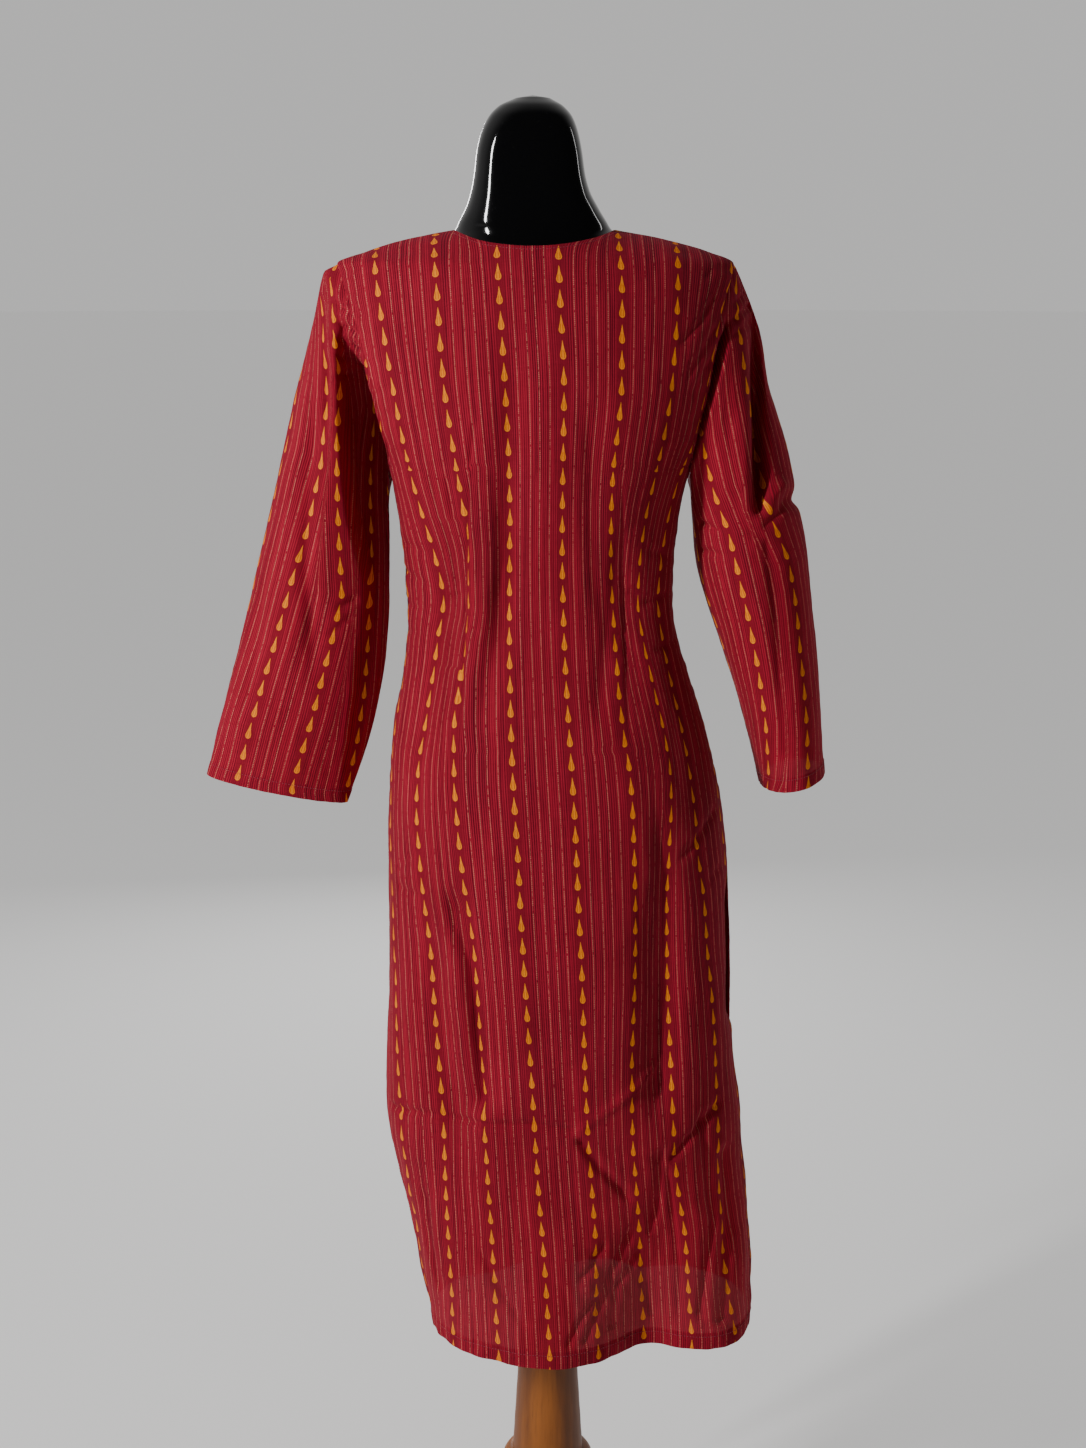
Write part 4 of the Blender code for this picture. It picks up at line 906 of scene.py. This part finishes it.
def shaped_panel(side, columns, creases, darts):
    """A panel with its folds, darts and crumples: its points, normals and flat-cloth coordinates."""
    smooth_points = panel_points(side, columns)
    normals = grid_normals(smooth_points, False, body_axis(smooth_points))
    numbers = print_across_back(smooth_points) if side > 0 else print_across_front(smooth_points)
    across, along = numbers * STRIPE_PITCH, lengths_down(smooth_points, UNDERARM_ROW)
    x, z = smooth_points[..., 0], smooth_points[..., 2]
    seam = seam_distance(smooth_points)
    push = -crease_depth(x, z, creases)
    for dart in darts:
        down = np.clip((dart.z_top - z) / (dart.z_top - dart.z_low), 0.0, 1.0)
        beside = x - (dart.x_top + (dart.x_low - dart.x_top) * down)
        strength = np.sin(np.pi * down)
        push = push - 0.0016 * strength * hump(beside, 0.0022)
        gathers = crumple(beside, along * 3.0, 0.026, 3.5 * side)
        push = push + 0.0012 * strength * gathers * np.exp(-np.abs(beside) / 0.014)
    # crumpled most where it hangs free, below the form
    loose = 0.75 + 0.9 * smooth((0.66 - z) / 0.15)
    push = push + loose * 0.0011 * crumple(across, along * 0.7, 0.030, 1.5 * side)
    push = push + loose * 0.0004 * crumple(across, along, 0.011, 5.5 * side)
    ripples = crumple(across * 1.5, along * 0.6, 0.020, 13.5 * side)
    push = push + 0.0016 * ripples * np.exp(-(z - HEM_Z) / 0.026)
    if side > 0:
        crushed = hump(x + 0.052, 0.042) * hump(z - 0.440, 0.062)
        push = push + 0.0026 * crushed * crumple(across * 1.5 + along * 0.6, along * 0.7, 0.016, 11.5)
    push = push + 0.0013 * crumple(seam, along * 3.4, 0.028, 9.5 * side) * np.exp(-seam / 0.018)
    push = held_at_seam(push, seam)
    # two layers at the turned hem and slit edges
    from_right = lengths_across(smooth_points)
    from_edge = np.minimum(from_right, from_right[:, -1:] - from_right)
    push = push + 0.0005 * smooth((HEM_HEIGHT + HEM_Z - z) / 0.002)
    push = push + 0.0004 * smooth((SLIT_HEM - from_edge) / 0.002) * smooth((SLIT_TOP_Z - z) / 0.006)
    points = keep_clear(smooth_points, normals, push, form_tree, LEAST_CLEARANCE)
    if side > 0:
        # drawn in beside the right slit, where the front's edge shows past it
        drawn = smooth((0.862 - z) / 0.035) * smooth((z - 0.690) / 0.035)
        points[..., 0] += 0.011 * drawn * hump(from_right, 0.030)
    return points, normals, np.stack([across, along], axis=-1)


def on_back(turns):
    """1 over the back half of a sleeve and 0 over its front, with a soft change between."""
    return smooth(np.sin(2 * np.pi * turns) * 5)[None, :]


def fallen_in(points, sign, from_seam, turns):
    """A sleeve with its back sunk towards its middle: the left one's hollow, the right one's crease."""
    x, z = points[..., 0], points[..., 2]
    level = points[..., 1].mean(axis=1, keepdims=True)
    back = on_back(turns)
    if sign > 0:
        beyond = eased(z, LEFT_HOLLOW, "edge") - x
        share = eased(z, LEFT_HOLLOW, "share") * smooth(beyond / 0.008 + 0.4)
    else:
        line = eased(z, RIGHT_CREASE, "edge")
        strength = eased(z, RIGHT_CREASE, "share")
        share = strength * hump(x - line, 0.0058)
        share = share + 0.22 * strength * smooth((line - x) / 0.010)
        wedge = smooth((1.405 - z) / 0.03) * smooth((z - 1.250) / 0.04)
        share = share + 0.85 * wedge * hump(from_seam - 0.010, 0.007)
    share = share * back * smooth((from_seam - 0.001) / (0.018 if sign > 0 else 0.010))
    sunk = points.copy()
    sunk[..., 1] = level + (points[..., 1] - level) * (1 - share)
    return sunk


def shaped_sleeve(loop, table, trough, creases, stripes, sign):
    """A sleeve with its folds, opened out along the seam under the arm."""
    plain = sleeve_points(loop, table, trough, sign)
    count = len(loop)
    turns = np.arange(count) / count
    from_seam = lengths_down(plain, 0)
    points = fallen_in(plain, sign, from_seam, turns)
    normals = grid_normals(points, True, points.mean(axis=1, keepdims=True))
    around = lengths_across(plain)
    from_underarm = np.abs(around - around[:, count // 2 : count // 2 + 1])
    to_cuff = np.abs(lengths_down(plain, -1))
    back = on_back(turns)
    push = -crease_depth(points[..., 0], points[..., 2], creases) * back
    push = push + 0.0009 * crumple(around, from_seam * 0.6, 0.028, 2.5 * sign)
    push = push + 0.0003 * crumple(around, from_seam, 0.010, 6.5 * sign)
    # gathers below the armhole, broad all round and fine at the back, and at the cuff
    push = push + 0.0018 * crumple(around * 2.6, from_seam, 0.030, 4.5 * sign) * np.exp(-from_seam / 0.022)
    gathers = crumple(around * 7.0, from_seam, 0.030, 8.5 * sign) * back
    push = push + 0.0008 * gathers * np.exp(-from_seam / 0.020)
    push = push + 0.0008 * crumple(around * 2.2, from_seam, 0.020, 7.5 * sign) * np.exp(-to_cuff / 0.020)
    push = held_at_seam(push, from_seam)
    push = push - 0.0010 * hump(from_underarm, 0.0024) * smooth(from_seam / 0.005)
    push = push + 0.0004 * smooth((CUFF_HEM_HEIGHT - to_cuff) / 0.002)
    z, outer = points[..., 2], hump(np.minimum(turns, 1 - turns), 0.13)[None, :]
    if sign > 0:
        # the head of the sleeve stands up past the shoulder seam
        past = np.maximum(from_seam - 0.008, 0.0)
        push = push + 0.0075 * outer * smooth(from_seam / 0.012) * hump(past, 0.036)
    else:
        # the outer edge: slack above the elbow, then a nick where it is pinched
        slack, nick = hump(z - 1.335, 0.034), hump(z - 1.230, 0.008)
        push = push - outer * (0.0055 * slack + 0.0060 * nick)
    points = points + normals * push[..., None]
    points, normals, plain = (np.roll(a, -(count // 2), axis=1) for a in (points, normals, plain))
    closed = np.concatenate([plain, plain[:, :1]], axis=1)
    along = -lengths_down(plain, CAP_RINGS)
    along = np.concatenate([along, along[:, :1]], axis=1)
    across = print_across_sleeve(closed, stripes, sign) * STRIPE_PITCH
    return points, normals, np.stack([across, along], axis=-1)


def print_across_sleeve(closed, stripes, sign):
    """Stripe numbers round a sleeve, from where its stripes run down the back. Where two run closer
    than their pitch, the cloth between them is folded away."""
    outside = (closed.shape[1] - 1) // 2
    numbers, from_outside = np.zeros(closed.shape[:2]), np.zeros(closed.shape[:2])
    for r, ring in enumerate(closed):
        length = lengths_along(ring)
        length = length - length[outside]
        x, z, at = ring[outside:, 0], ring[outside:, 2], length[outside:]
        spans = []
        for number, path in stripes:
            heights, places = np.array(path).T
            beyond = sign * (x - np.interp(z, heights, places))
            inside = np.nonzero(beyond <= 0)[0]
            if len(inside) == 0:
                where = at[-1] + beyond.min()
            elif inside[0] == 0:
                where = beyond[0]
            else:
                k = inside[0]
                where = at[k - 1] + (at[k] - at[k - 1]) * beyond[k - 1] / (beyond[k - 1] - beyond[k])
            spans.append((where, number))
        spans.sort()
        knots = [spans[0]]
        for (start, first), (end, last) in zip(spans[:-1], spans[1:]):
            shown = (end - start) / STRIPE_PITCH
            if shown < (last - first) * 0.97:
                halfway = (start + end) / 2
                knots.append((halfway - FOLD_HALF, first + shown / 2))
                knots.append((halfway + FOLD_HALF, last - shown / 2))
            knots.append((end, last))
        numbers[r] = numbers_along(length, knots, 1)
        from_outside[r] = -length
    # further round the front the stripes run straight down from the shoulder
    settle = numbers[CAP_RINGS:, outside].mean() - numbers[:, outside]
    return numbers + settle[:, None] * smooth(from_outside / 0.13)


def cloth_piece(name, node, points, uv, closed):
    made = cloth_object(name, points, uv, closed)
    if node:
        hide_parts(node)
    cloth_pieces.append(made)
    return made


def turned_strip(name, node, strip, normals, uv, depth, closed=False):
    """A turned edge: cloth folded back behind a strip of the points, which runs in from the edge."""
    points = np.concatenate([strip[:1], strip - normals * depth])
    return cloth_piece(name, node, points, np.concatenate([uv[:1], uv]), closed)


def stitches(name, paths, spacing=0.0031, length=0.0021, thick=0.00021):
    """Rows of stitches, each a small plump length of thread lying on the cloth."""
    points, faces, sides = [], [], 5
    sections = ((-0.5, 0.35), (-0.32, 1.0), (0.32, 1.0), (0.5, 0.35))
    for path, normals in paths:
        at = lengths_along(path)
        for k in range(int(at[-1] / spacing)):
            where = (k + 0.5) * spacing
            place = np.array([np.interp(where, at, path[:, c]) for c in range(3)])
            ahead = np.array([np.interp(where + 0.0008, at, path[:, c]) for c in range(3)])
            up = unit(np.array([np.interp(where, at, normals[:, c]) for c in range(3)]))
            run = unit(ahead - place)
            side = np.cross(run, up)
            start = len(points)
            for share, plump in sections:
                middle_of = place + run * share * length + up * thick * (0.9 if plump == 1.0 else 0.0)
                for turn in range(sides):
                    angle = 2 * np.pi * turn / sides
                    out = side * np.cos(angle) * 1.3 + up * np.sin(angle)
                    points.append(middle_of + out * thick * plump)
            for ring in range(3):
                for turn in range(sides):
                    a, b = start + ring * sides + turn, start + ring * sides + (turn + 1) % sides
                    faces.append((a, b, b + sides, a + sides))
            faces.append(tuple(start + t for t in range(sides))[::-1])
            faces.append(tuple(start + 3 * sides + t for t in range(sides)))
    made = plain_object(name, points, faces)
    thread_pieces.append(made)
    return made


def turned_piece(name, node, shape, steps=120):
    """A turned piece of the stand, finer than its solid."""
    angle = 2 * np.pi * np.arange(steps) / steps
    rings = []
    for z in np.linspace(shape[-1].z, shape[0].z, 64):
        radius = eased(z, shape, "radius") + 0.00008 * np.sin(z * 2600.0)
        rings.append(np.stack([radius * np.cos(angle), radius * np.sin(angle), np.full(steps, z)], axis=1))
    made = loft_object(name, rings, (0.0, 0.0, shape[-1].z), (0.0, 0.0, shape[0].z))
    made.data.set_sharp_from_angle(angle=radians(40))
    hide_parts(node)
    return made


form = form_piece()
form_tree = BVHTree.FromObject(form, bpy.context.evaluated_depsgraph_get())
cloth_pieces, thread_pieces = [], []


def hem_rows(points, normals, uv, height):
    """The lowest rows of a panel, up to height along the cloth."""
    rise = lengths_down(points, 0).mean(axis=1)
    count = int(np.searchsorted(rise, height)) + 1
    return points[:count], normals[:count], uv[:count]


def edge_columns(points, normals, uv, left, width):
    """The columns next to a panel's slit edge, as rows that run in from the edge."""
    slit_rows = int((points[:, 0, 2] < SLIT_TOP_Z).sum())
    across = lengths_across(points)[0]
    count = int(np.searchsorted(across, width)) + 1
    pick = slice(None, -count - 1, -1) if left else slice(0, count)
    return tuple(np.swapaxes(a[:slit_rows, pick], 0, 1) for a in (points, normals, uv))


def neck_rows(points, normals, uv, depth):
    """The rows next to a panel's neckline, as rows that run down from the edge."""
    x = points[-1, :, 0]
    on_neck = np.nonzero(np.abs(x - middle(NECK_POINT_Z)) <= half_width(NECK_POINT_Z) + 0.001)[0]
    fall = np.abs(lengths_down(points, -1))[:, on_neck].mean(axis=1)
    down = np.searchsorted(fall[::-1], np.linspace(0.0, depth, 6))
    pick = slice(on_neck[0], on_neck[-1] + 1, 2)
    return tuple(a[::-1][down][:, pick] for a in (points, normals, uv))


def dress_panel(side, word, creases, darts, columns):
    """A panel with its turned hem, slit edges and neckline, and the stitches that hold them."""
    points, normals, uv = shaped_panel(side, columns, creases, darts)
    panel = cloth_piece(word + "_panel", word, points, uv, False)
    strip, out, flat_rows = hem_rows(points, normals, uv, HEM_HEIGHT)
    edges = [turned_strip(word + "_turned_hem", word + "_hem", strip, out, flat_rows, TURNED_BEHIND)]
    runs = [(strip[-2], out[-2])]
    for left in (True, False):
        strip, out, flat_rows = edge_columns(points, normals, uv, left, SLIT_HEM)
        hand = "left" if left else "right"
        name, node = f"{word}_turned_slit_{hand}", f"{word}_slit_hem_{hand}"
        edges.append(turned_strip(name, node, strip, out, flat_rows, SLIT_TURNED_BEHIND))
        runs.append((strip[-2], out[-2]))
    strip, out, flat_rows = neck_rows(points, normals, uv, NECK_TURNING)
    edges.append(turned_strip(word + "_turned_neck", None, strip, out, flat_rows, TURNED_BEHIND))
    runs.append((strip[3], out[3]))
    edges.append(stitches(word + "_stitches", runs))
    return points


def dress_sleeve(sign, hand, table, trough, creases, stripes):
    """A sleeve with its turned cuff and stitches."""
    back, front = panel_edges
    column = -1 if sign > 0 else 0
    loop = np.concatenate([back[UNDERARM_ROW:, column][::-1], front[UNDERARM_ROW:, column][1:-1]])
    points, normals, uv = shaped_sleeve(loop, table, trough, creases, stripes, sign)
    sleeve = cloth_piece(hand + "_sleeve", "sleeve_" + hand, points, uv, True)
    rise = np.abs(lengths_down(points, -1)).mean(axis=1)[::-1]
    count = int(np.searchsorted(rise, CUFF_HEM_HEIGHT)) + 1
    strip, out, flat_rows = (a[::-1][:count] for a in (points, normals, uv))
    name, node = hand + "_turned_cuff", f"sleeve_{hand}_hem"
    cuff = turned_strip(name, node, strip, out, flat_rows, TURNED_BEHIND, True)
    path = np.concatenate([strip[-2], strip[-2][:1]])
    thread = stitches(hand + "_cuff_stitches", [(path, np.concatenate([out[-2], out[-2][:1]]))])


panel_edges = (
    dress_panel(1, "back", BACK_CREASES, BACK_DARTS, BACK_COLUMNS),
    dress_panel(-1, "front", FRONT_CREASES, FRONT_DARTS, FRONT_COLUMNS),
)
dress_sleeve(1, "left", LEFT_SLEEVE, LEFT_SLEEVE_TROUGH, LEFT_SLEEVE_CREASES, LEFT_SLEEVE_STRIPES)
dress_sleeve(-1, "right", RIGHT_SLEEVE, RIGHT_SLEEVE_TROUGH, RIGHT_SLEEVE_CREASES, RIGHT_SLEEVE_STRIPES)
stand_pieces = [
    turned_piece("turned_flange", "stand_flange", FLANGE_SHAPE),
    turned_piece("turned_column", "stand_column", COLUMN_SHAPE),
    turned_piece("turned_collar", "stand_collar", COLLAR_SHAPE),
    turned_piece("turned_base", "stand_base", BASE_SHAPE),
]


# Finishes


class Value:
    """A shader value that adds, scales and compares like a number."""

    def __init__(self, tree, socket):
        self.tree, self.socket = tree, socket

    def node(self, kind, settings=(), puts=(), out=0):
        made = self.tree.nodes.new(kind)
        for name, value in dict(settings).items():
            if name == "stops":
                ramp = made.color_ramp
                while len(ramp.elements) > 1:
                    ramp.elements.remove(ramp.elements[-1])
                for k, (at, colour) in enumerate(value):
                    stop = ramp.elements[0] if k == 0 else ramp.elements.new(at)
                    stop.position = at
                    stop.color = (*colour, 1.0) if hasattr(colour, "__len__") else (colour,) * 3 + (1.0,)
            elif name == "ramp_kind":
                made.color_ramp.interpolation = value
            else:
                setattr(made, name, value)
        for name, value in dict(puts).items():
            if isinstance(value, Value):
                self.tree.links.new(value.socket, made.inputs[name])
            else:
                made.inputs[name].default_value = value
        return Value(self.tree, made.outputs[out])

    def math(self, operation, *others):
        return self.node("ShaderNodeMath", {"operation": operation}, dict(enumerate((self, *others))))

    def __add__(self, other):
        return self.math("ADD", other)

    __radd__ = __add__

    def __mul__(self, other):
        return self.math("MULTIPLY", other)

    __rmul__ = __mul__

    def __sub__(self, other):
        return self.math("SUBTRACT", other)

    def __rsub__(self, other):
        return self.node("ShaderNodeMath", {"operation": "SUBTRACT"}, {0: other, 1: self})

    def __truediv__(self, other):
        return self.math("DIVIDE", other)

    def __abs__(self):
        return self.math("ABSOLUTE")

    def fraction(self):
        return self.math("FRACT")

    def floor(self):
        return self.math("FLOOR")

    def rise(self, low, high):
        """0 below low, 1 above high and smooth between. low may be the greater."""
        settings = {"interpolation_type": "SMOOTHSTEP"}
        puts = {"Value": self, "From Min": low, "From Max": high, "To Min": 0.0, "To Max": 1.0}
        return self.node("ShaderNodeMapRange", settings, puts)

    def ramp(self, stops, kind="LINEAR"):
        return self.node("ShaderNodeValToRGB", {"ramp_kind": kind, "stops": stops}, {0: self})

    def mix(self, first, second):
        """first where this value is 0 and second where it is 1, as colours."""
        puts = {0: self, 6: colour_of(first), 7: colour_of(second)}
        return self.node("ShaderNodeMix", {"data_type": "RGBA"}, puts, out=2)


def colour_of(value):
    return value if isinstance(value, Value) else (*value, 1.0)


class Finish:
    """A material with its Principled shader and the coordinates that its pattern is drawn in."""

    def __init__(self, name, roughness, **constants):
        self.material = bpy.data.materials.new(name)
        self.material.use_nodes = True
        self.tree = self.material.node_tree
        self.shader = self.tree.nodes["Principled BSDF"]
        self.set("Roughness", roughness)
        for socket, value in constants.items():
            self.set(socket.replace("_", " ").title().replace("Ior", "IOR"), value)
        self.start = Value(self.tree, None)

    def set(self, socket, value):
        if isinstance(value, Value):
            self.tree.links.new(value.socket, self.shader.inputs[socket])
        else:
            self.shader.inputs[socket].default_value = value

    def flat_cloth(self):
        """Across and along the flat cloth, in metres."""
        uv = self.start.node("ShaderNodeUVMap", {"uv_map": "cloth"})
        across, along = (self.start.node("ShaderNodeSeparateXYZ", {}, {0: uv}, out) for out in (0, 1))
        return uv, across, along

    def place(self):
        return self.start.node("ShaderNodeTexCoord", {}, {}, 3)

    def noise(self, at, scale, detail=2.0, roughness=0.5, stretch=None):
        if stretch is not None:
            at = self.start.node("ShaderNodeVectorMath", {"operation": "MULTIPLY"}, {0: at, 1: stretch})
        puts = {"Vector": at, "Scale": scale, "Detail": detail, "Roughness": roughness}
        return self.start.node("ShaderNodeTexNoise", {"noise_dimensions": "3D"}, puts, 0)

    def bump(self, height, distance, strength=1.0):
        puts = {"Height": height, "Distance": distance, "Strength": strength}
        self.set("Normal", self.start.node("ShaderNodeBump", {}, puts))

    def see_through(self, colour, share):
        """Lets a share of the light through the cloth."""
        glow = self.start.node("ShaderNodeBsdfTranslucent", {}, {"Color": colour})
        principled = Value(self.tree, self.shader.outputs[0])
        mixed = self.start.node("ShaderNodeMixShader", {}, {0: share, 1: principled, 2: glow})
        output = next(n for n in self.tree.nodes if n.type == "OUTPUT_MATERIAL")
        self.tree.links.new(mixed.socket, output.inputs["Surface"])

    def onto(self, *pieces):
        for piece in pieces:
            piece.data.materials.clear()
            piece.data.materials.append(self.material)


def printed_cotton():
    sheen = {"sheen_weight": 0.05, "sheen_roughness": 0.5, "sheen_tint": (0.9, 0.2, 0.3, 1.0)}
    finish = Finish("printed_cotton", 0.9, specular_ior_level=0.10, alpha=0.990, **sheen)
    uv, across, along = finish.flat_cloth()
    stripe = across / STRIPE_PITCH
    number = stripe.floor()
    beside = stripe.fraction() - 0.5
    beside_mm = beside * (STRIPE_PITCH * 1000)

    # Ground: fine red and wine stripes between the plainer bands under the drops.
    fine = finish.noise(uv, 1.0, 2.0, 0.6, (520.0, 6.0, 1.0)).rise(0.36, 0.64)
    broad = finish.noise(uv, 1.0, 1.0, 0.5, (90.0, 2.0, 1.0))
    pin = (across * (2 * pi / PIN_PITCH)).math("SINE") * 0.5 + 0.5
    lines = (fine * 0.38 + pin * 0.62).rise(0.20, 0.80)
    band = abs(beside).rise(0.115, 0.075)
    wine, crimson, plain = (0.088, 0.0032, 0.0105), (0.375, 0.0110, 0.0310), (0.208, 0.0062, 0.0185)
    ground = lines.mix(wine, crimson)
    ground = (broad.rise(0.35, 0.7) * 0.25).mix(ground, crimson)
    ground = (band * 0.85).mix(ground, plain)

    # Dashed lines in pale pink thread.
    dashes = (along / DASH_PITCH + number * 0.37).fraction()
    worn = finish.noise(uv, 1.0, 2.0, 0.5, (300.0, 260.0, 1.0))
    dashed = dashes.rise(0.02, 0.16) * dashes.rise(0.86, 0.66) * worn.rise(0.30, 0.50)
    threads = sum(abs(beside - place).rise(0.0088, 0.0044) for place in (0.215, 0.411, -0.420, -0.238))
    colour = (threads * dashed * 0.70).mix(ground, (0.800, 0.270, 0.180))

    # Amber drops, each with a darker line inside its round end.
    slips = (0.0, 0.78, 0.25, 0.44, 0.57, 0.0, 0.3, 0.62)
    slip_stops = [(k / len(slips), slip) for k, slip in enumerate(slips)]
    slip = ((number + 3.0) / len(slips)).fraction().ramp(slip_stops, "CONSTANT")
    up = (along / DROP_PITCH + slip).fraction()
    shape = up.ramp(
        ((0.0, 0.0), (0.05, 0.0), (0.07, 0.42), (0.10, 0.70), (0.15, 0.88), (0.22, 0.93), (0.30, 0.82),
         (0.40, 0.60),
         (0.50, 0.42), (0.60, 0.28), (0.69, 0.17), (0.78, 0.08), (0.80, 0.0), (1.0, 0.0)),
    )
    wander = finish.noise(uv, 900.0, 1.0) - 0.5
    half = shape * 3.05 + wander * 0.25
    inside = (half - abs(beside_mm)).rise(-0.12, 0.22) * shape.rise(0.02, 0.06)
    shade = (abs(abs(beside_mm) - shape * 1.45)).rise(0.75, 0.25) * up.rise(0.50, 0.34) * up.rise(0.10, 0.14)
    amber = (shade * 0.7).mix((0.880, 0.255, 0.010), (0.520, 0.092, 0.003))
    colour = inside.mix(colour, amber)

    # Slubs and soft fading.
    slub = sum(finish.noise(uv, 1.0, 3.0, 0.6, way) * 0.5 for way in ((700.0, 40.0, 1.0), (30.0, 800.0, 1.0)))
    tone = (slub - 0.5) * 0.9 + (finish.noise(uv, 14.0, 2.0) - 0.5) * 0.35
    soft = {"data_type": "RGBA", "blend_type": "SOFT_LIGHT"}
    finish.set("Base Color", colour.node("ShaderNodeMix", soft, {0: 0.55, 6: colour, 7: tone + 0.5}, out=2))
    crinkle = finish.noise(uv, 1.0, 2.0, 0.55, (160.0, 60.0, 1.0))
    finish.bump(slub * 0.55 + crinkle * 0.9 + inside * 0.05, 0.0006, 0.55)
    finish.see_through((0.80, 0.030, 0.035, 1.0), 0.13)
    return finish


def sewing_thread():
    finish = Finish("sewing_thread", 0.6)
    twist = finish.noise(finish.place(), 1500.0, 2.0)
    finish.set("Base Color", twist.mix((0.200, 0.010, 0.028), (0.330, 0.028, 0.050)))
    finish.set("Roughness", twist * 0.2 + 0.5)
    finish.bump(twist, 0.0002, 0.4)
    return finish


def gloss_black():
    finish = Finish("gloss_black", 0.06, specular_ior_level=0.35)
    at = finish.place()
    dust = finish.noise(at, 420.0, 3.0, 0.6).rise(0.62, 0.78)
    smears = finish.noise(at, 9.0, 4.0, 0.6)
    black, dusty = (0.0010, 0.0010, 0.0012), (0.050, 0.050, 0.055)
    finish.set("Base Color", (dust * 0.08 + smears * 0.02).mix(black, dusty))
    finish.set("Roughness", smears * 0.07 + 0.035 + dust * 0.12)
    finish.bump(finish.noise(at, 26.0, 2.0), 0.0012, 0.10)
    return finish


def turned_wood():
    finish = Finish("turned_wood", 0.5, specular_ior_level=0.3, coat_weight=0.06, coat_roughness=0.25)
    at = finish.place()
    grain = finish.noise(at, 1.0, 5.0, 0.62, (34.0, 34.0, 2.6))
    fibres = finish.noise(at, 1.0, 4.0, 0.7, (420.0, 420.0, 11.0))
    wood = grain.rise(0.30, 0.72).mix((0.120, 0.032, 0.004), (0.300, 0.092, 0.010))
    wood = (fibres.rise(0.52, 0.80) * 0.45).mix(wood, (0.062, 0.020, 0.005))
    finish.set("Base Color", wood)
    finish.set("Roughness", fibres * 0.16 + 0.42)
    finish.bump(fibres * 0.5 + grain * 0.3, 0.0006, 0.35)
    return finish


cotton, black, wood = printed_cotton(), gloss_black(), turned_wood()
cotton.onto(*cloth_pieces)
black.onto(form)
wood.onto(*stand_pieces)
sewing_thread().onto(*thread_pieces)


# Floor, light and camera


FLOOR_RADIUS = 60.0
LIGHTS_AIM = Vector((0.0, 0.0, 1.05))
# The camera, worked out from the photo at the garment's size.
LENS_MM, CAMERA_PLACE, CAMERA_DOWN_DEGREES = 49.05, (0.005, 1.9, 1.452), 13.2


def studio():
    """The pale floor, the soft lights and the camera."""
    mesh = bpy.data.meshes.new("floor")
    shape = bmesh.new()
    bmesh.ops.create_circle(shape, cap_ends=True, segments=96, radius=FLOOR_RADIUS)
    shape.to_mesh(mesh)
    shape.free()
    floor = bpy.data.objects.new("floor", mesh)
    bpy.context.scene.collection.objects.link(floor)
    pale = Finish("pale_floor", 0.9)
    pale.set("Base Color", (0.46, 0.455, 0.45, 1.0))
    pale.set("Emission Color", (0.74, 0.735, 0.73, 1.0))
    pale.set("Emission Strength", 0.50)
    pale.onto(floor)

    world = bpy.data.worlds.new("studio_air")
    bpy.context.scene.world = world
    world.use_nodes = True
    tree = world.node_tree
    air = Value(tree, None)
    direction = air.node("ShaderNodeTexCoord")
    across, toward = (air.node("ShaderNodeSeparateXYZ", {}, {0: direction}, out) for out in (0, 1))
    shade = (toward - across * 0.45).rise(0.40, -0.50).mix((0.05, 0.05, 0.05), (0.56, 0.555, 0.55))
    tree.links.new(shade.socket, tree.nodes["Background"].inputs[0])

    for name, place, wide, tall, power in (
        ("key_light", (2.0, 1.55, 2.15), 0.18, 1.3, 88.0),
        ("front_light", (0.3, -2.6, 1.3), 1.0, 1.0, 32.0),
        ("rim_light", (-2.2, -0.8, 2.0), 0.12, 1.6, 6.0),
    ):
        light = bpy.data.lights.new(name, "AREA")
        light.shape, light.size, light.size_y, light.energy = "ELLIPSE", wide, tall, power
        lamp = bpy.data.objects.new(name, light)
        lamp.location = place
        lamp.rotation_euler = (LIGHTS_AIM - Vector(place)).to_track_quat("-Z", "Y").to_euler()
        bpy.context.scene.collection.objects.link(lamp)

    camera = bpy.data.objects.new("camera", bpy.data.cameras.new("camera"))
    camera.data.lens = LENS_MM
    camera.location = CAMERA_PLACE
    camera.rotation_euler = (radians(90.0 - CAMERA_DOWN_DEGREES), 0.0, radians(180.0))
    bpy.context.scene.collection.objects.link(camera)
    bpy.context.scene.camera = camera


studio()
